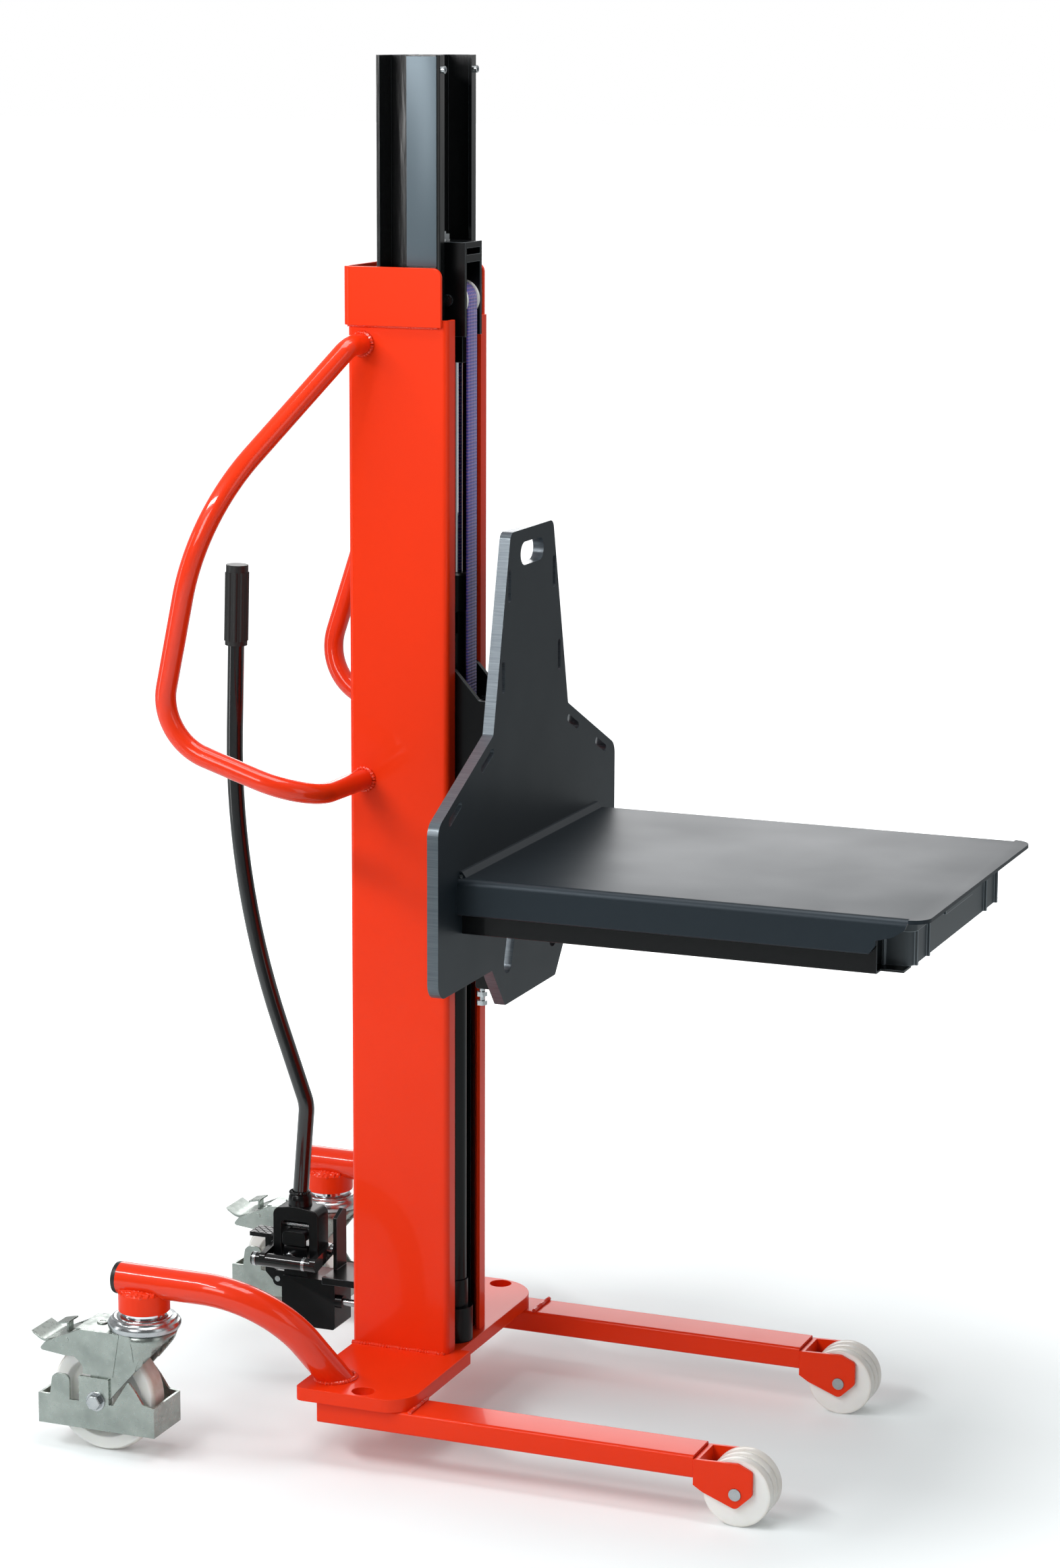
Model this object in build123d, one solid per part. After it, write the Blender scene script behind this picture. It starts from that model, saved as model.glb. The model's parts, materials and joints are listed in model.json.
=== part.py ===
from build123d import *
import math
import os

os.makedirs("parts", exist_ok=True)

# Manual platform stacker: sizes in millimetres, +X towards the platform, +Z up.
# The drawing frame has x = 0 on the front of the mast, y = 0 on its middle plane
# and z = 0 on the floor. The whole set moves along X at the end, so that the
# origin lies under the middle of the bounding box.

# Mast
MAST_FOOT = 106
MAST_TOP = 1483
MAST_HALF = 68
MAST_DEPTH = 140
MAST_WALL = 5
MAST_LIP = 25
COLLAR_BOTTOM = 1474
COLLAR_TOP = 1549
COLLAR_WALL = 5.5
COLLAR_FRONT = -7
COLLAR_CORNER = 12

# Inner profile
PROFILE_TOP = 1814
PROFILE_FRONT = -14
PROFILE_STEP = -57
PROFILE_BACK = -100
PROFILE_WALL = 4.5
PROFILE_LIP = 18.5
PROFILE_NECK = 26
PROFILE_CORNER = 5
PROFILE_HALF = MAST_HALF - MAST_WALL

# Base
PLATE_BOTTOM = 88
PLATE_TOP = MAST_FOOT
PLATE_REAR = -138
PLATE_FRONT_RIGHT = 22
PLATE_FRONT_LEFT = 8
PLATE_STEP_Y = -41
PLATE_HALF = 256
PLATE_CORNER_RIGHT = 40
PLATE_CORNER_LEFT = 65
PLATE_CORNER_REAR = 10
TIE_HOLE_X = -48
TIE_HOLE_Y = 236
TIE_HOLE_RADIUS = 15
LEG_Y = 217
LEG_WIDTH = 60
LEG_HEIGHT = 30
LEG_WALL = 4
LEG_REAR = -110
LEG_FRONT = 411
FORK_HALF = 31
FORK_CHEEK = 5
FORK_ROOT = 7.5
ROLLER_X = 467
ROLLER_RADIUS = 45
ROLLER_WIDTH = 50
ROLLER_GROOVE = 2
PIN_RADIUS = 8
RUNNING_FIT = 0.05

# Rear arms and casters
ARM_RADIUS = 21.2
ARM_WALL = 3.6
ARM_FOOT_X = -95
ARM_FOOT_Y = 205
ARM_BEND = 215
ARM_RISE_ANGLE = 58
CASTER_X = -338
CASTER_Y = 290
CAP_REACH = 39
BOSS_RADIUS = 34
BOSS_TO_ARM = 39
BOSS_BELOW_ARM = 12
WHEEL_RADIUS = 75
WHEEL_WIDTH = 37
TRAIL = 54
HUB_RADIUS = 21
HUB_HALF = 29
AXLE_RADIUS = 6
LEG_INSIDE = 30
LEG_SHEET = 4.5
GUARD_SHEET = 3.5
GUARD_HALF = LEG_INSIDE + LEG_SHEET + GUARD_SHEET
PAN_RADIUS = 48.5
PAN_TOP = 192
PAN_BOTTOM = 170
HEAD_SHEET = 5
BOSS_BOTTOM = PAN_TOP + HEAD_SHEET
ARM_HEIGHT = BOSS_BOTTOM + BOSS_TO_ARM
KINGPIN_RADIUS = 8
HEAD_RADIUS = 30
PEDAL_PIVOT = (-98, 153)
PEDAL_PIN_RADIUS = 4

# Handles
HANDLE_RADIUS = 13.5
HANDLE_WALL = 2.5
HANDLE_X = -105
HANDLE_Y = 77
HANDLE_ANGLE = 38

# Lifting ram
RAM_X = -17
ROD_RADIUS = 9
ROD_FOOT = 840
PISTON_HEIGHT = 20
ROD_TOP = 1460
BARREL_RADIUS = 14.5
BARREL_BORE = 10.5
BARREL_TOP = 1103
GLAND_TOP = 1153
GLAND_RADIUS = 18
FOOT_RADIUS = 23
FOOT_TOP = 154
NECK_RADIUS = 16.5
NECK_TOP = 192

# Pulley block and belt
BLOCK_HALF = 28
BLOCK_SHEET = 6
BLOCK_REAR = -44
BLOCK_FRONT = 7.5
BLOCK_BOTTOM = 1460
BLOCK_TOP = 1580
SOCKET_FOOT = 1426
PULLEY_Z = 1506
PULLEY_RADIUS = 20.75
FLANGE_RADIUS = 25
FLANGE_THICKNESS = 1.5
BELT_THICKNESS = 2.5
BELT_HALF = 20
PULLEY_PIN_RADIUS = 7
BELT_FRONT_END = 940
BELT_REAR_END = 1080

# Carriage
CHEEK_OUTSIDE = 41
CHEEK_SHEET = 8
CHEEK_REAR = -50
GUIDE_X = -35.5
GUIDE_RADIUS = 16
GUIDE_PIN_RADIUS = 6
GUIDE_WIDTH = 12
GUIDE_INSIDE = 44.5
GUIDE_UPPER = 1000
GUIDE_LOWER = 690
CHEEK_TOP = GUIDE_UPPER + 31
CHEEK_SHOULDER = GUIDE_UPPER - 8
CHEEK_FOOT = GUIDE_LOWER - 40
CHEEK_TOE = CHEEK_FOOT - 42
FACE_REAR = 75
FACE_FRONT = 90

# Platform and tray
DECK_TOP = 804
DECK_SHEET = 5
DECK_FRONT = 698
DECK_HALF = 250
DECK_CORNER = 24
FLANGE_FOOT = 757
FLANGE_BEND = 9
RUNNER_OUTSIDE = 235
RUNNER_SHEET = 3
RUNNER_FOOT = 730
RUNNER_FRONT = 633
TRAY_REAR = 100
TRAY_FRONT = 670
TRAY_HALF = 199
TRAY_TOP = 797.5
TRAY_WALL = 3

# Pump
PUMP_Y = 24
ROCKER_Y = 34
ROCKER_Z = 196
ROCKER_PIN_RADIUS = 7
YOKE_LEFT = -293
YOKE_RIGHT = -225
YOKE_NEAR = 7
YOKE_FAR = 42
WINDOW_LEFT = -280
WINDOW_RIGHT = -239
WINDOW_TOP = 238
YOKE_TOP = 248
LEVER_RADIUS = 11
LEVER_WALL = 2.5
GRIP_RADIUS = 16.5
GRIP_FOOT = 1032
GRIP_TOP = 1141
STIRRUP_BAR_Y = -13
STIRRUP_BAR_Z = 186
STIRRUP_BAR_RADIUS = 9.5
PLUNGER_X = -259.5
PLUNGER_Y = 19
PLUNGER_RADIUS = 5.5
RELEASE_X = -296
RELEASE_Z = 146
RELEASE_PIN_RADIUS = 4

GAP = 0.3


def block(x0, x1, y0, y1, z0, z1):
    middle = Pos((x0 + x1) / 2, (y0 + y1) / 2, (z0 + z1) / 2)
    return middle * Box(x1 - x0, y1 - y0, z1 - z0)


def rod_x(x0, x1, y, z, radius):
    turn = Rot(0, 90, 0)
    return Pos((x0 + x1) / 2, y, z) * turn * Cylinder(radius, x1 - x0)


def rod_y(x, y0, y1, z, radius):
    turn = Rot(90, 0, 0)
    return Pos(x, (y0 + y1) / 2, z) * turn * Cylinder(radius, y1 - y0)


def rod_z(x, y, z0, z1, radius):
    return Pos(x, y, (z0 + z1) / 2) * Cylinder(radius, z1 - z0)


def bend(before, corner, after, radius):
    # End points and middle point of the arc that rounds one corner
    back = (before - corner).normalized()
    ahead = (after - corner).normalized()
    half = math.radians(back.get_angle(ahead)) / 2
    reach = radius / math.tan(half)
    inward = (back + ahead).normalized() * (radius / math.sin(half) - radius)
    return corner + back * reach, corner + inward, corner + ahead * reach


def rounded_edges(corners, closed):
    # Corners are (point, radius); radius 0 keeps the corner sharp
    points = [corner[0] for corner in corners]
    edges = []
    joints = []
    count = len(corners)
    for i, (point, radius) in enumerate(corners):
        inner = closed or 0 < i < count - 1
        if radius > 0 and inner:
            before = points[i - 1]
            after = points[(i + 1) % count]
            start, middle, end = bend(before, point, after, radius)
            edges.append(ThreePointArc(start, middle, end))
            joints.append((start, end))
        else:
            joints.append((point, point))
    spans = count if closed else count - 1
    for i in range(spans):
        start = joints[i][1]
        end = joints[(i + 1) % count][0]
        if (end - start).length > 0.001:
            edges.append(Line(start, end))
    return edges


def outline(points):
    # Points are (a, b) or (a, b, corner radius)
    corners = []
    for point in points:
        radius = point[2] if len(point) > 2 else 0
        corners.append((Vector(point[0], point[1], 0), radius))
    return Face(Wire(rounded_edges(corners, True)))


def plate_x(points, x0, x1):
    # Outline in (y, z), thickness from x0 to x1
    sheet = Plane.YZ.offset(x0) * outline(points)
    return extrude(sheet, amount=x1 - x0, dir=(1, 0, 0))


def plate_y(points, y0, y1):
    # Outline in (x, z), thickness from y0 to y1
    sheet = Plane.XZ.offset(-y0) * outline(points)
    return extrude(sheet, amount=y1 - y0, dir=(0, 1, 0))


def plate_z(points, z0, z1):
    # Outline in (x, y), thickness from z0 to z1
    sheet = Plane.XY.offset(z0) * outline(points)
    return extrude(sheet, amount=z1 - z0, dir=(0, 0, 1))


def tube(corners, radius, wall):
    path = Wire(rounded_edges(corners, False))
    start = Plane(origin=path @ 0, z_dir=path % 0)
    ring = Circle(radius)
    if wall > 0:
        ring = ring - Circle(radius - wall)
    return sweep(start * ring, path=path)


def lathe_z(points, x, y):
    # Outline in (radius, z), turned about the vertical through x, y
    half = Plane.XZ * outline(points)
    return Pos(x, y, 0) * revolve(half, Axis.Z)


def lathe_y(points, x, z):
    # Outline in (radius, y), turned about the line along Y through x, z
    half = Plane(origin=(0, 0, 0), x_dir=(1, 0, 0), z_dir=(0, 0, 1)) * outline(points)
    return Pos(x, 0, z) * revolve(half, Axis.Y)


def mirrored(solid):
    return mirror(solid, about=Plane.XZ)


def both_sides(solid):
    return Compound([solid, mirrored(solid)])


def hexagon_y(x, y0, y1, z, flats):
    face = Plane.XZ.offset(-y0) * RegularPolygon(flats / 2, 6, major_radius=False)
    return Pos(x, 0, z) * extrude(face, amount=y1 - y0, dir=(0, 1, 0))


nodes = {}

# Base plate with a stepped front edge and two tie-down holes
base_plate = plate_z(
    [
        (PLATE_REAR, -PLATE_HALF, PLATE_CORNER_REAR),
        (PLATE_FRONT_RIGHT, -PLATE_HALF, PLATE_CORNER_RIGHT),
        (PLATE_FRONT_RIGHT, PLATE_STEP_Y),
        (PLATE_FRONT_LEFT, PLATE_STEP_Y),
        (PLATE_FRONT_LEFT, PLATE_HALF, PLATE_CORNER_LEFT),
        (PLATE_REAR, PLATE_HALF, PLATE_CORNER_REAR),
    ],
    PLATE_BOTTOM,
    PLATE_TOP,
)
for side in (-1, 1):
    base_plate -= rod_z(TIE_HOLE_X, side * TIE_HOLE_Y, PLATE_BOTTOM - 1, PLATE_TOP + 1, TIE_HOLE_RADIUS)
nodes["base_plate"] = base_plate

# Support legs: flat tubes under the plate, closed in front by the fork ends
leg = block(
    LEG_REAR, LEG_FRONT,
    LEG_Y - LEG_WIDTH / 2, LEG_Y + LEG_WIDTH / 2,
    PLATE_BOTTOM - LEG_HEIGHT, PLATE_BOTTOM,
)
leg = fillet(leg.edges().filter_by(Axis.X), 4)
leg -= block(
    LEG_REAR - 1, LEG_FRONT + 1,
    LEG_Y - LEG_WIDTH / 2 + LEG_WALL, LEG_Y + LEG_WIDTH / 2 - LEG_WALL,
    PLATE_BOTTOM - LEG_HEIGHT + LEG_WALL, PLATE_BOTTOM - LEG_WALL,
)
nodes["leg_left"] = leg
nodes["leg_right"] = mirrored(leg)

# Fork ends that hold the front rollers
fork = plate_y(
    [
        (LEG_FRONT, 84),
        (470, 86, 8),
        (490, 77, 6),
        (490, 46, 8),
        (468, 25, 8),
        (424, 42, 8),
        (LEG_FRONT, 50),
    ],
    LEG_Y - FORK_HALF,
    LEG_Y + FORK_HALF,
)
fork -= block(
    LEG_FRONT + FORK_ROOT, 500,
    LEG_Y - FORK_HALF + FORK_CHEEK, LEG_Y + FORK_HALF - FORK_CHEEK,
    0, 100,
)
fork -= rod_y(ROLLER_X, LEG_Y - 40, LEG_Y + 40, ROLLER_RADIUS, PIN_RADIUS)
nodes["fork_left"] = fork
nodes["fork_right"] = mirrored(fork)

roller_pin = rod_y(ROLLER_X, LEG_Y - FORK_HALF - 1, LEG_Y + FORK_HALF + 1, ROLLER_RADIUS, PIN_RADIUS)
nodes["roller_pins"] = both_sides(roller_pin)

# Front rollers: three rings on one core
ring = ROLLER_WIDTH / 3
half = ROLLER_WIDTH / 2 - GAP
roller = lathe_y(
    [
        (PIN_RADIUS + RUNNING_FIT, -half),
        (ROLLER_RADIUS, -half, 2),
        (ROLLER_RADIUS, -ring / 2 - ROLLER_GROOVE / 2, 1),
        (ROLLER_RADIUS - ROLLER_GROOVE, -ring / 2),
        (ROLLER_RADIUS, -ring / 2 + ROLLER_GROOVE / 2, 1),
        (ROLLER_RADIUS, ring / 2 - ROLLER_GROOVE / 2, 1),
        (ROLLER_RADIUS - ROLLER_GROOVE, ring / 2),
        (ROLLER_RADIUS, ring / 2 + ROLLER_GROOVE / 2, 1),
        (ROLLER_RADIUS, half, 2),
        (PIN_RADIUS + RUNNING_FIT, half),
    ],
    ROLLER_X,
    ROLLER_RADIUS,
)
nodes["front_roller_left"] = Pos(0, LEG_Y, 0) * roller
nodes["front_roller_right"] = Pos(0, -LEG_Y, 0) * roller

# Outer mast: lipped channel, open to the front
opening = MAST_HALF - MAST_LIP
section = outline(
    [
        (-MAST_DEPTH, -MAST_HALF, 8),
        (0, -MAST_HALF, 8),
        (0, -opening),
        (-MAST_WALL, -opening),
        (-MAST_WALL, -PROFILE_HALF, 3),
        (-MAST_DEPTH + MAST_WALL, -PROFILE_HALF, 3),
        (-MAST_DEPTH + MAST_WALL, PROFILE_HALF, 3),
        (-MAST_WALL, PROFILE_HALF, 3),
        (-MAST_WALL, opening),
        (0, opening),
        (0, MAST_HALF, 8),
        (-MAST_DEPTH, MAST_HALF, 8),
    ]
)
outer_mast = extrude(Pos(0, 0, MAST_FOOT) * section, amount=MAST_TOP - MAST_FOOT, dir=(0, 0, 1))
PIPE_Y = 14
PIPE_Z = 130
PIPE_RADIUS = 5
pipe_hole = rod_x(-MAST_DEPTH - 1, PROFILE_STEP, PIPE_Y, PIPE_Z, PIPE_RADIUS + 1)
outer_mast -= pipe_hole
nodes["outer_mast"] = outer_mast

# Collar wrapped round the top of the outer mast
outside = MAST_HALF + COLLAR_WALL
collar = plate_z(
    [
        (COLLAR_FRONT, -outside),
        (COLLAR_FRONT, -MAST_HALF),
        (-MAST_DEPTH, -MAST_HALF, 8),
        (-MAST_DEPTH, MAST_HALF, 8),
        (COLLAR_FRONT, MAST_HALF),
        (COLLAR_FRONT, outside),
        (-MAST_DEPTH - COLLAR_WALL, outside, 8 + COLLAR_WALL),
        (-MAST_DEPTH - COLLAR_WALL, -outside, 8 + COLLAR_WALL),
    ],
    COLLAR_BOTTOM,
    COLLAR_TOP,
)
collar_corners = collar.edges().filter_by(Axis.Y).filter_by(
    lambda edge: edge.center().X > COLLAR_FRONT - 1 and edge.center().Z > COLLAR_TOP - 1
)
collar = fillet(collar_corners, COLLAR_CORNER)
nodes["mast_collar"] = collar


def profile_half():
    # Right half of the inner profile, listed round its outside and back inside
    neck = PROFILE_NECK
    wall = PROFILE_WALL
    lip = PROFILE_HALF - PROFILE_LIP
    return [
        (PROFILE_BACK, 0),
        (PROFILE_BACK, PROFILE_HALF),
        (PROFILE_BACK + wall, PROFILE_HALF),
        (PROFILE_BACK + wall, neck),
        (PROFILE_STEP, neck),
        (PROFILE_STEP, PROFILE_HALF),
        (PROFILE_FRONT, PROFILE_HALF, PROFILE_CORNER),
        (PROFILE_FRONT, lip),
        (PROFILE_FRONT - wall, lip),
        (PROFILE_FRONT - wall, PROFILE_HALF - wall),
        (PROFILE_STEP + wall, PROFILE_HALF - wall),
        (PROFILE_STEP + wall, neck - wall),
        (PROFILE_BACK + wall, neck - wall),
        (PROFILE_BACK + wall, 0),
    ]


# Inner profile: two guide channels, a narrow neck and a rear flange
half_profile = plate_z(profile_half(), MAST_FOOT, PROFILE_TOP)
inner_mast = half_profile + mirrored(half_profile)
inner_mast -= pipe_hole

# Stop bolts at the top of the guide channels
STOP_Y = 53
STOP_Z = 1796
stop_bolt = rod_x(PROFILE_FRONT - PROFILE_WALL - 6, PROFILE_FRONT, STOP_Y, STOP_Z, 4)
stop_bolt += rod_x(PROFILE_FRONT, PROFILE_FRONT + 8, STOP_Y, STOP_Z, 6.5)
stop_bolt -= rod_x(PROFILE_FRONT + 4, PROFILE_FRONT + 9, STOP_Y, STOP_Z, 3)
nodes["mast_stop_bolts"] = both_sides(stop_bolt)
inner_mast -= both_sides(rod_x(PROFILE_FRONT - 6, PROFILE_FRONT + 1, STOP_Y, STOP_Z, 4))
nodes["inner_mast"] = inner_mast

# Push handles: bent tubes welded flat against the mast sides
handle_angle = math.radians(HANDLE_ANGLE)
handle_profile = [
    (-30, 1438, 0),
    (33, 1437, 40),
    (238.5, 1219, 365),
    (271.5, 950, 80),
    (75.6, 857, 110),
    (-30, 899, 0),
]
handle_corners = []
for s, z, radius in handle_profile:
    x = HANDLE_X - s * math.cos(handle_angle)
    y = HANDLE_Y + s * math.sin(handle_angle)
    handle_corners.append((Vector(x, y, z), radius))
handle = tube(handle_corners, HANDLE_RADIUS, HANDLE_WALL)
handle -= block(-MAST_DEPTH, 0, 0, MAST_HALF, 700, 1600)
nodes["handle_left"] = handle
nodes["handle_right"] = mirrored(handle)

# Caster arms: rise from the base plate and run level over the casters
arm_run = math.hypot(ARM_FOOT_X - CASTER_X, CASTER_Y - ARM_FOOT_Y)
arm_x = (CASTER_X - ARM_FOOT_X) / arm_run
arm_y = (CASTER_Y - ARM_FOOT_Y) / arm_run
rise = math.tan(math.radians(ARM_RISE_ANGLE))
ARM_SINK = 60
arm_profile = [
    (-ARM_SINK / rise, PLATE_TOP - ARM_SINK, 0),
    ((ARM_HEIGHT - PLATE_TOP) / rise, ARM_HEIGHT, ARM_BEND),
    (arm_run + CAP_REACH - 6, ARM_HEIGHT, 0),
]
arm_corners = []
for s, z, radius in arm_profile:
    arm_corners.append((Vector(ARM_FOOT_X + s * arm_x, ARM_FOOT_Y + s * arm_y, z), radius))
arm = tube(arm_corners, ARM_RADIUS, ARM_WALL)
beyond = Vector(ARM_FOOT_X + 2 * arm_run * arm_x, ARM_FOOT_Y + 2 * arm_run * arm_y, ARM_HEIGHT)
arm_envelope = tube(arm_corners[:-1] + [(beyond, 0)], ARM_RADIUS, 0)
arm -= block(-300, 100, 0, 400, 0, PLATE_TOP)
nodes["caster_arm_left"] = arm
nodes["caster_arm_right"] = mirrored(arm)

# Domed plugs in the rear ends of the arms
plug = revolve(
    Plane.XZ * outline(
        [
            (0, -14),
            (ARM_RADIUS - ARM_WALL, -14),
            (ARM_RADIUS - ARM_WALL, 0),
            (ARM_RADIUS, 0),
            (ARM_RADIUS, 6, 4),
            (0, 9),
        ]
    ),
    Axis.Z,
)
cap_x = ARM_FOOT_X + (arm_run + CAP_REACH - 6) * arm_x
cap_y = ARM_FOOT_Y + (arm_run + CAP_REACH - 6) * arm_y
plug = Plane(origin=(cap_x, cap_y, ARM_HEIGHT), z_dir=(arm_x, arm_y, 0)) * plug
nodes["arm_caps"] = both_sides(plug)

# Caster bosses: rings saddled to the underside of the arms
boss = rod_z(CASTER_X, CASTER_Y, BOSS_BOTTOM, ARM_HEIGHT - BOSS_BELOW_ARM, BOSS_RADIUS)
boss -= arm_envelope
boss -= rod_z(CASTER_X, CASTER_Y, BOSS_BOTTOM - 1, BOSS_BOTTOM + 12, KINGPIN_RADIUS)
nodes["caster_bosses"] = both_sides(boss)

# Caster heads: fixed disc with the king pin that the fork turns on
head = rod_z(0, 0, PAN_TOP, BOSS_BOTTOM, HEAD_RADIUS)
head += rod_z(0, 0, PAN_BOTTOM - 4, BOSS_BOTTOM + 12, KINGPIN_RADIUS)
head += rod_z(0, 0, PAN_BOTTOM - 7, PAN_BOTTOM - GAP, 13)
nodes["caster_heads"] = both_sides(Pos(CASTER_X, CASTER_Y, 0) * head)

# Caster fork: swivel pan, two slanted legs and the brake housing behind them
pan = lathe_z(
    [
        (KINGPIN_RADIUS + RUNNING_FIT, PAN_BOTTOM),
        (PAN_RADIUS - 8, PAN_BOTTOM),
        (PAN_RADIUS, PAN_BOTTOM + 6, 5),
        (PAN_RADIUS, PAN_TOP - 6, 6),
        (PAN_RADIUS - 12, PAN_TOP - 1, 4),
        (PAN_RADIUS - 15, PAN_TOP - GAP),
        (KINGPIN_RADIUS + RUNNING_FIT, PAN_TOP - GAP),
    ],
    0,
    0,
)
fork_leg = plate_y(
    [
        (44, PAN_BOTTOM),
        (30, PAN_BOTTOM - 20, 10),
        (-TRAIL + 14, WHEEL_RADIUS - 2, 12),
        (-TRAIL - 2, WHEEL_RADIUS - 16, 12),
        (-TRAIL - 16, WHEEL_RADIUS + 6, 12),
        (-TRAIL - 8, 112),
        (-30, PAN_BOTTOM),
    ],
    LEG_INSIDE,
    LEG_INSIDE + LEG_SHEET,
)
housing_side = plate_y(
    [
        (-20, PAN_BOTTOM),
        (-78, PAN_BOTTOM, 8),
        (-130, 146, 3),
        (-139, 135, 3),
        (-100, 131),
        (-86, 132, 6),
        (-74, 120, 10),
        (-74, 109.5),
        (-30, 109.5),
    ],
    LEG_INSIDE,
    LEG_INSIDE + LEG_SHEET,
)
side_plate = fork_leg + housing_side
side_plate -= rod_y(-TRAIL, 20, 50, WHEEL_RADIUS, AXLE_RADIUS)
side_plate -= rod_y(PEDAL_PIVOT[0], 20, 50, PEDAL_PIVOT[1], PEDAL_PIN_RADIUS)
roof = block(-86, -30, -LEG_INSIDE - 1, LEG_INSIDE + 1, PAN_BOTTOM - 3, PAN_BOTTOM)
bridge = block(-34, 34, -LEG_INSIDE - 1, LEG_INSIDE + 1, PAN_BOTTOM - 3, PAN_BOTTOM)
bridge -= rod_z(0, 0, PAN_BOTTOM - 4, PAN_BOTTOM + 1, 14)
caster_fork = pan + side_plate + mirrored(side_plate) + roof + bridge
rivet = rod_z(-62, 0, PAN_BOTTOM, PAN_BOTTOM + 2, 6)
caster_fork += rivet

# Foot guard round the wheel, notched for the fork legs
guard_reach = WHEEL_RADIUS + 10.5
guard_side = plate_y(
    [
        (-TRAIL - guard_reach, 35),
        (-TRAIL + guard_reach, 35),
        (-TRAIL + guard_reach, 76),
        (16, 78, 6),
        (4, 96, 20),
        (-6, 108, 2),
        (-29, 72),
        (-35, 72),
        (-35, 107, 2),
        (-79, 107, 2),
        (-79, 72),
        (-93, 72),
        (-93, 106, 8),
        (-118, 106, 10),
        (-122, 76),
        (-TRAIL - guard_reach, 76),
    ],
    GUARD_HALF - GUARD_SHEET,
    GUARD_HALF,
)
guard_side -= rod_y(-TRAIL, 20, 50, WHEEL_RADIUS, AXLE_RADIUS)
guard_end = block(
    -TRAIL + guard_reach - GUARD_SHEET, -TRAIL + guard_reach,
    -GUARD_HALF + 1, GUARD_HALF - 1, 35, 76,
)
guard_tail = Pos(-2 * guard_reach + GUARD_SHEET, 0, 0) * guard_end
caster_guard = guard_side + mirrored(guard_side) + guard_end + guard_tail

# Axle with a hexagon head outside and a nut inside
axle = rod_y(-TRAIL, -GUARD_HALF - 6, GUARD_HALF + 8, WHEEL_RADIUS, AXLE_RADIUS)
axle += rod_y(-TRAIL, GUARD_HALF, GUARD_HALF + 2, WHEEL_RADIUS, 11)
axle += hexagon_y(-TRAIL, GUARD_HALF + 2, GUARD_HALF + 9, WHEEL_RADIUS, 18)
axle += hexagon_y(-TRAIL, -GUARD_HALF - 9, -GUARD_HALF, WHEEL_RADIUS, 18)

# Caster wheel: one-piece tyre, dished web and hub
tread = WHEEL_WIDTH / 2
wheel = lathe_y(
    [
        (AXLE_RADIUS + RUNNING_FIT, -HUB_HALF),
        (HUB_RADIUS, -HUB_HALF, 1.5),
        (HUB_RADIUS, -7, 3),
        (52, -7, 3),
        (56, -tread, 2),
        (WHEEL_RADIUS - 4, -tread, 2),
        (WHEEL_RADIUS, -tread + 6, 6),
        (WHEEL_RADIUS, tread - 6, 6),
        (WHEEL_RADIUS - 4, tread, 2),
        (56, tread, 2),
        (52, 7, 3),
        (HUB_RADIUS, 7, 3),
        (HUB_RADIUS, HUB_HALF, 1.5),
        (AXLE_RADIUS + RUNNING_FIT, HUB_HALF),
    ],
    -TRAIL,
    WHEEL_RADIUS,
)

# Brake pedal: rocking plate with a broad toe tab and an upright release tab
pedal_half = LEG_INSIDE - 2
pedal = plate_y(
    [
        (-84, 160.5),
        (-84, 156.5),
        (-112, 149),
        (-134, 145, 4),
        (-152, 154),
        (-154, 157.5),
        (-134, 149.5, 4),
        (-113, 153.5),
    ],
    -pedal_half,
    pedal_half,
)
pedal += block(-112, -109, -10, 10, 152, 172)
pedal += rod_y(PEDAL_PIVOT[0], -pedal_half, pedal_half, PEDAL_PIVOT[1], PEDAL_PIN_RADIUS + 3)
pedal += rod_y(PEDAL_PIVOT[0], -GUARD_HALF, GUARD_HALF, PEDAL_PIVOT[1], PEDAL_PIN_RADIUS - RUNNING_FIT)

for name, side in (("left", 1), ("right", -1)):
    place = Pos(CASTER_X, side * CASTER_Y, 0)
    for node, solid in (
        ("caster_fork", caster_fork),
        ("caster_guard", caster_guard),
        ("caster_axle", axle),
        ("caster_wheel", wheel),
        ("brake_pedal", pedal),
    ):
        shape = solid if side > 0 else mirrored(solid)
        nodes[node + "_" + name] = place * shape

# Ram: foot, barrel, gland and rod
cylinder_foot = rod_z(RAM_X, 0, MAST_FOOT, FOOT_TOP, FOOT_RADIUS)
cylinder_foot += rod_z(RAM_X, 0, FOOT_TOP, NECK_TOP, NECK_RADIUS)
cylinder_foot -= rod_x(RAM_X - FOOT_RADIUS - 1, RAM_X, PIPE_Y, PIPE_Z, PIPE_RADIUS)
nodes["cylinder_foot"] = cylinder_foot
barrel = rod_z(RAM_X, 0, NECK_TOP, BARREL_TOP, BARREL_RADIUS)
barrel -= rod_z(RAM_X, 0, NECK_TOP - 1, BARREL_TOP + 1, BARREL_BORE)
nodes["cylinder_barrel"] = barrel
gland = rod_z(RAM_X, 0, BARREL_TOP, GLAND_TOP, GLAND_RADIUS)
gland = chamfer(gland.edges().filter_by(GeomType.CIRCLE).group_by(Axis.Z)[-1], 3)
gland -= rod_z(RAM_X, 0, BARREL_TOP - 1, GLAND_TOP + 1, ROD_RADIUS + RUNNING_FIT)
nodes["cylinder_gland"] = gland
piston_rod = rod_z(RAM_X, 0, ROD_FOOT, ROD_TOP, ROD_RADIUS)
piston_rod += rod_z(RAM_X, 0, ROD_FOOT, ROD_FOOT + PISTON_HEIGHT, BARREL_BORE - RUNNING_FIT)
nodes["piston_rod"] = piston_rod

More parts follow.
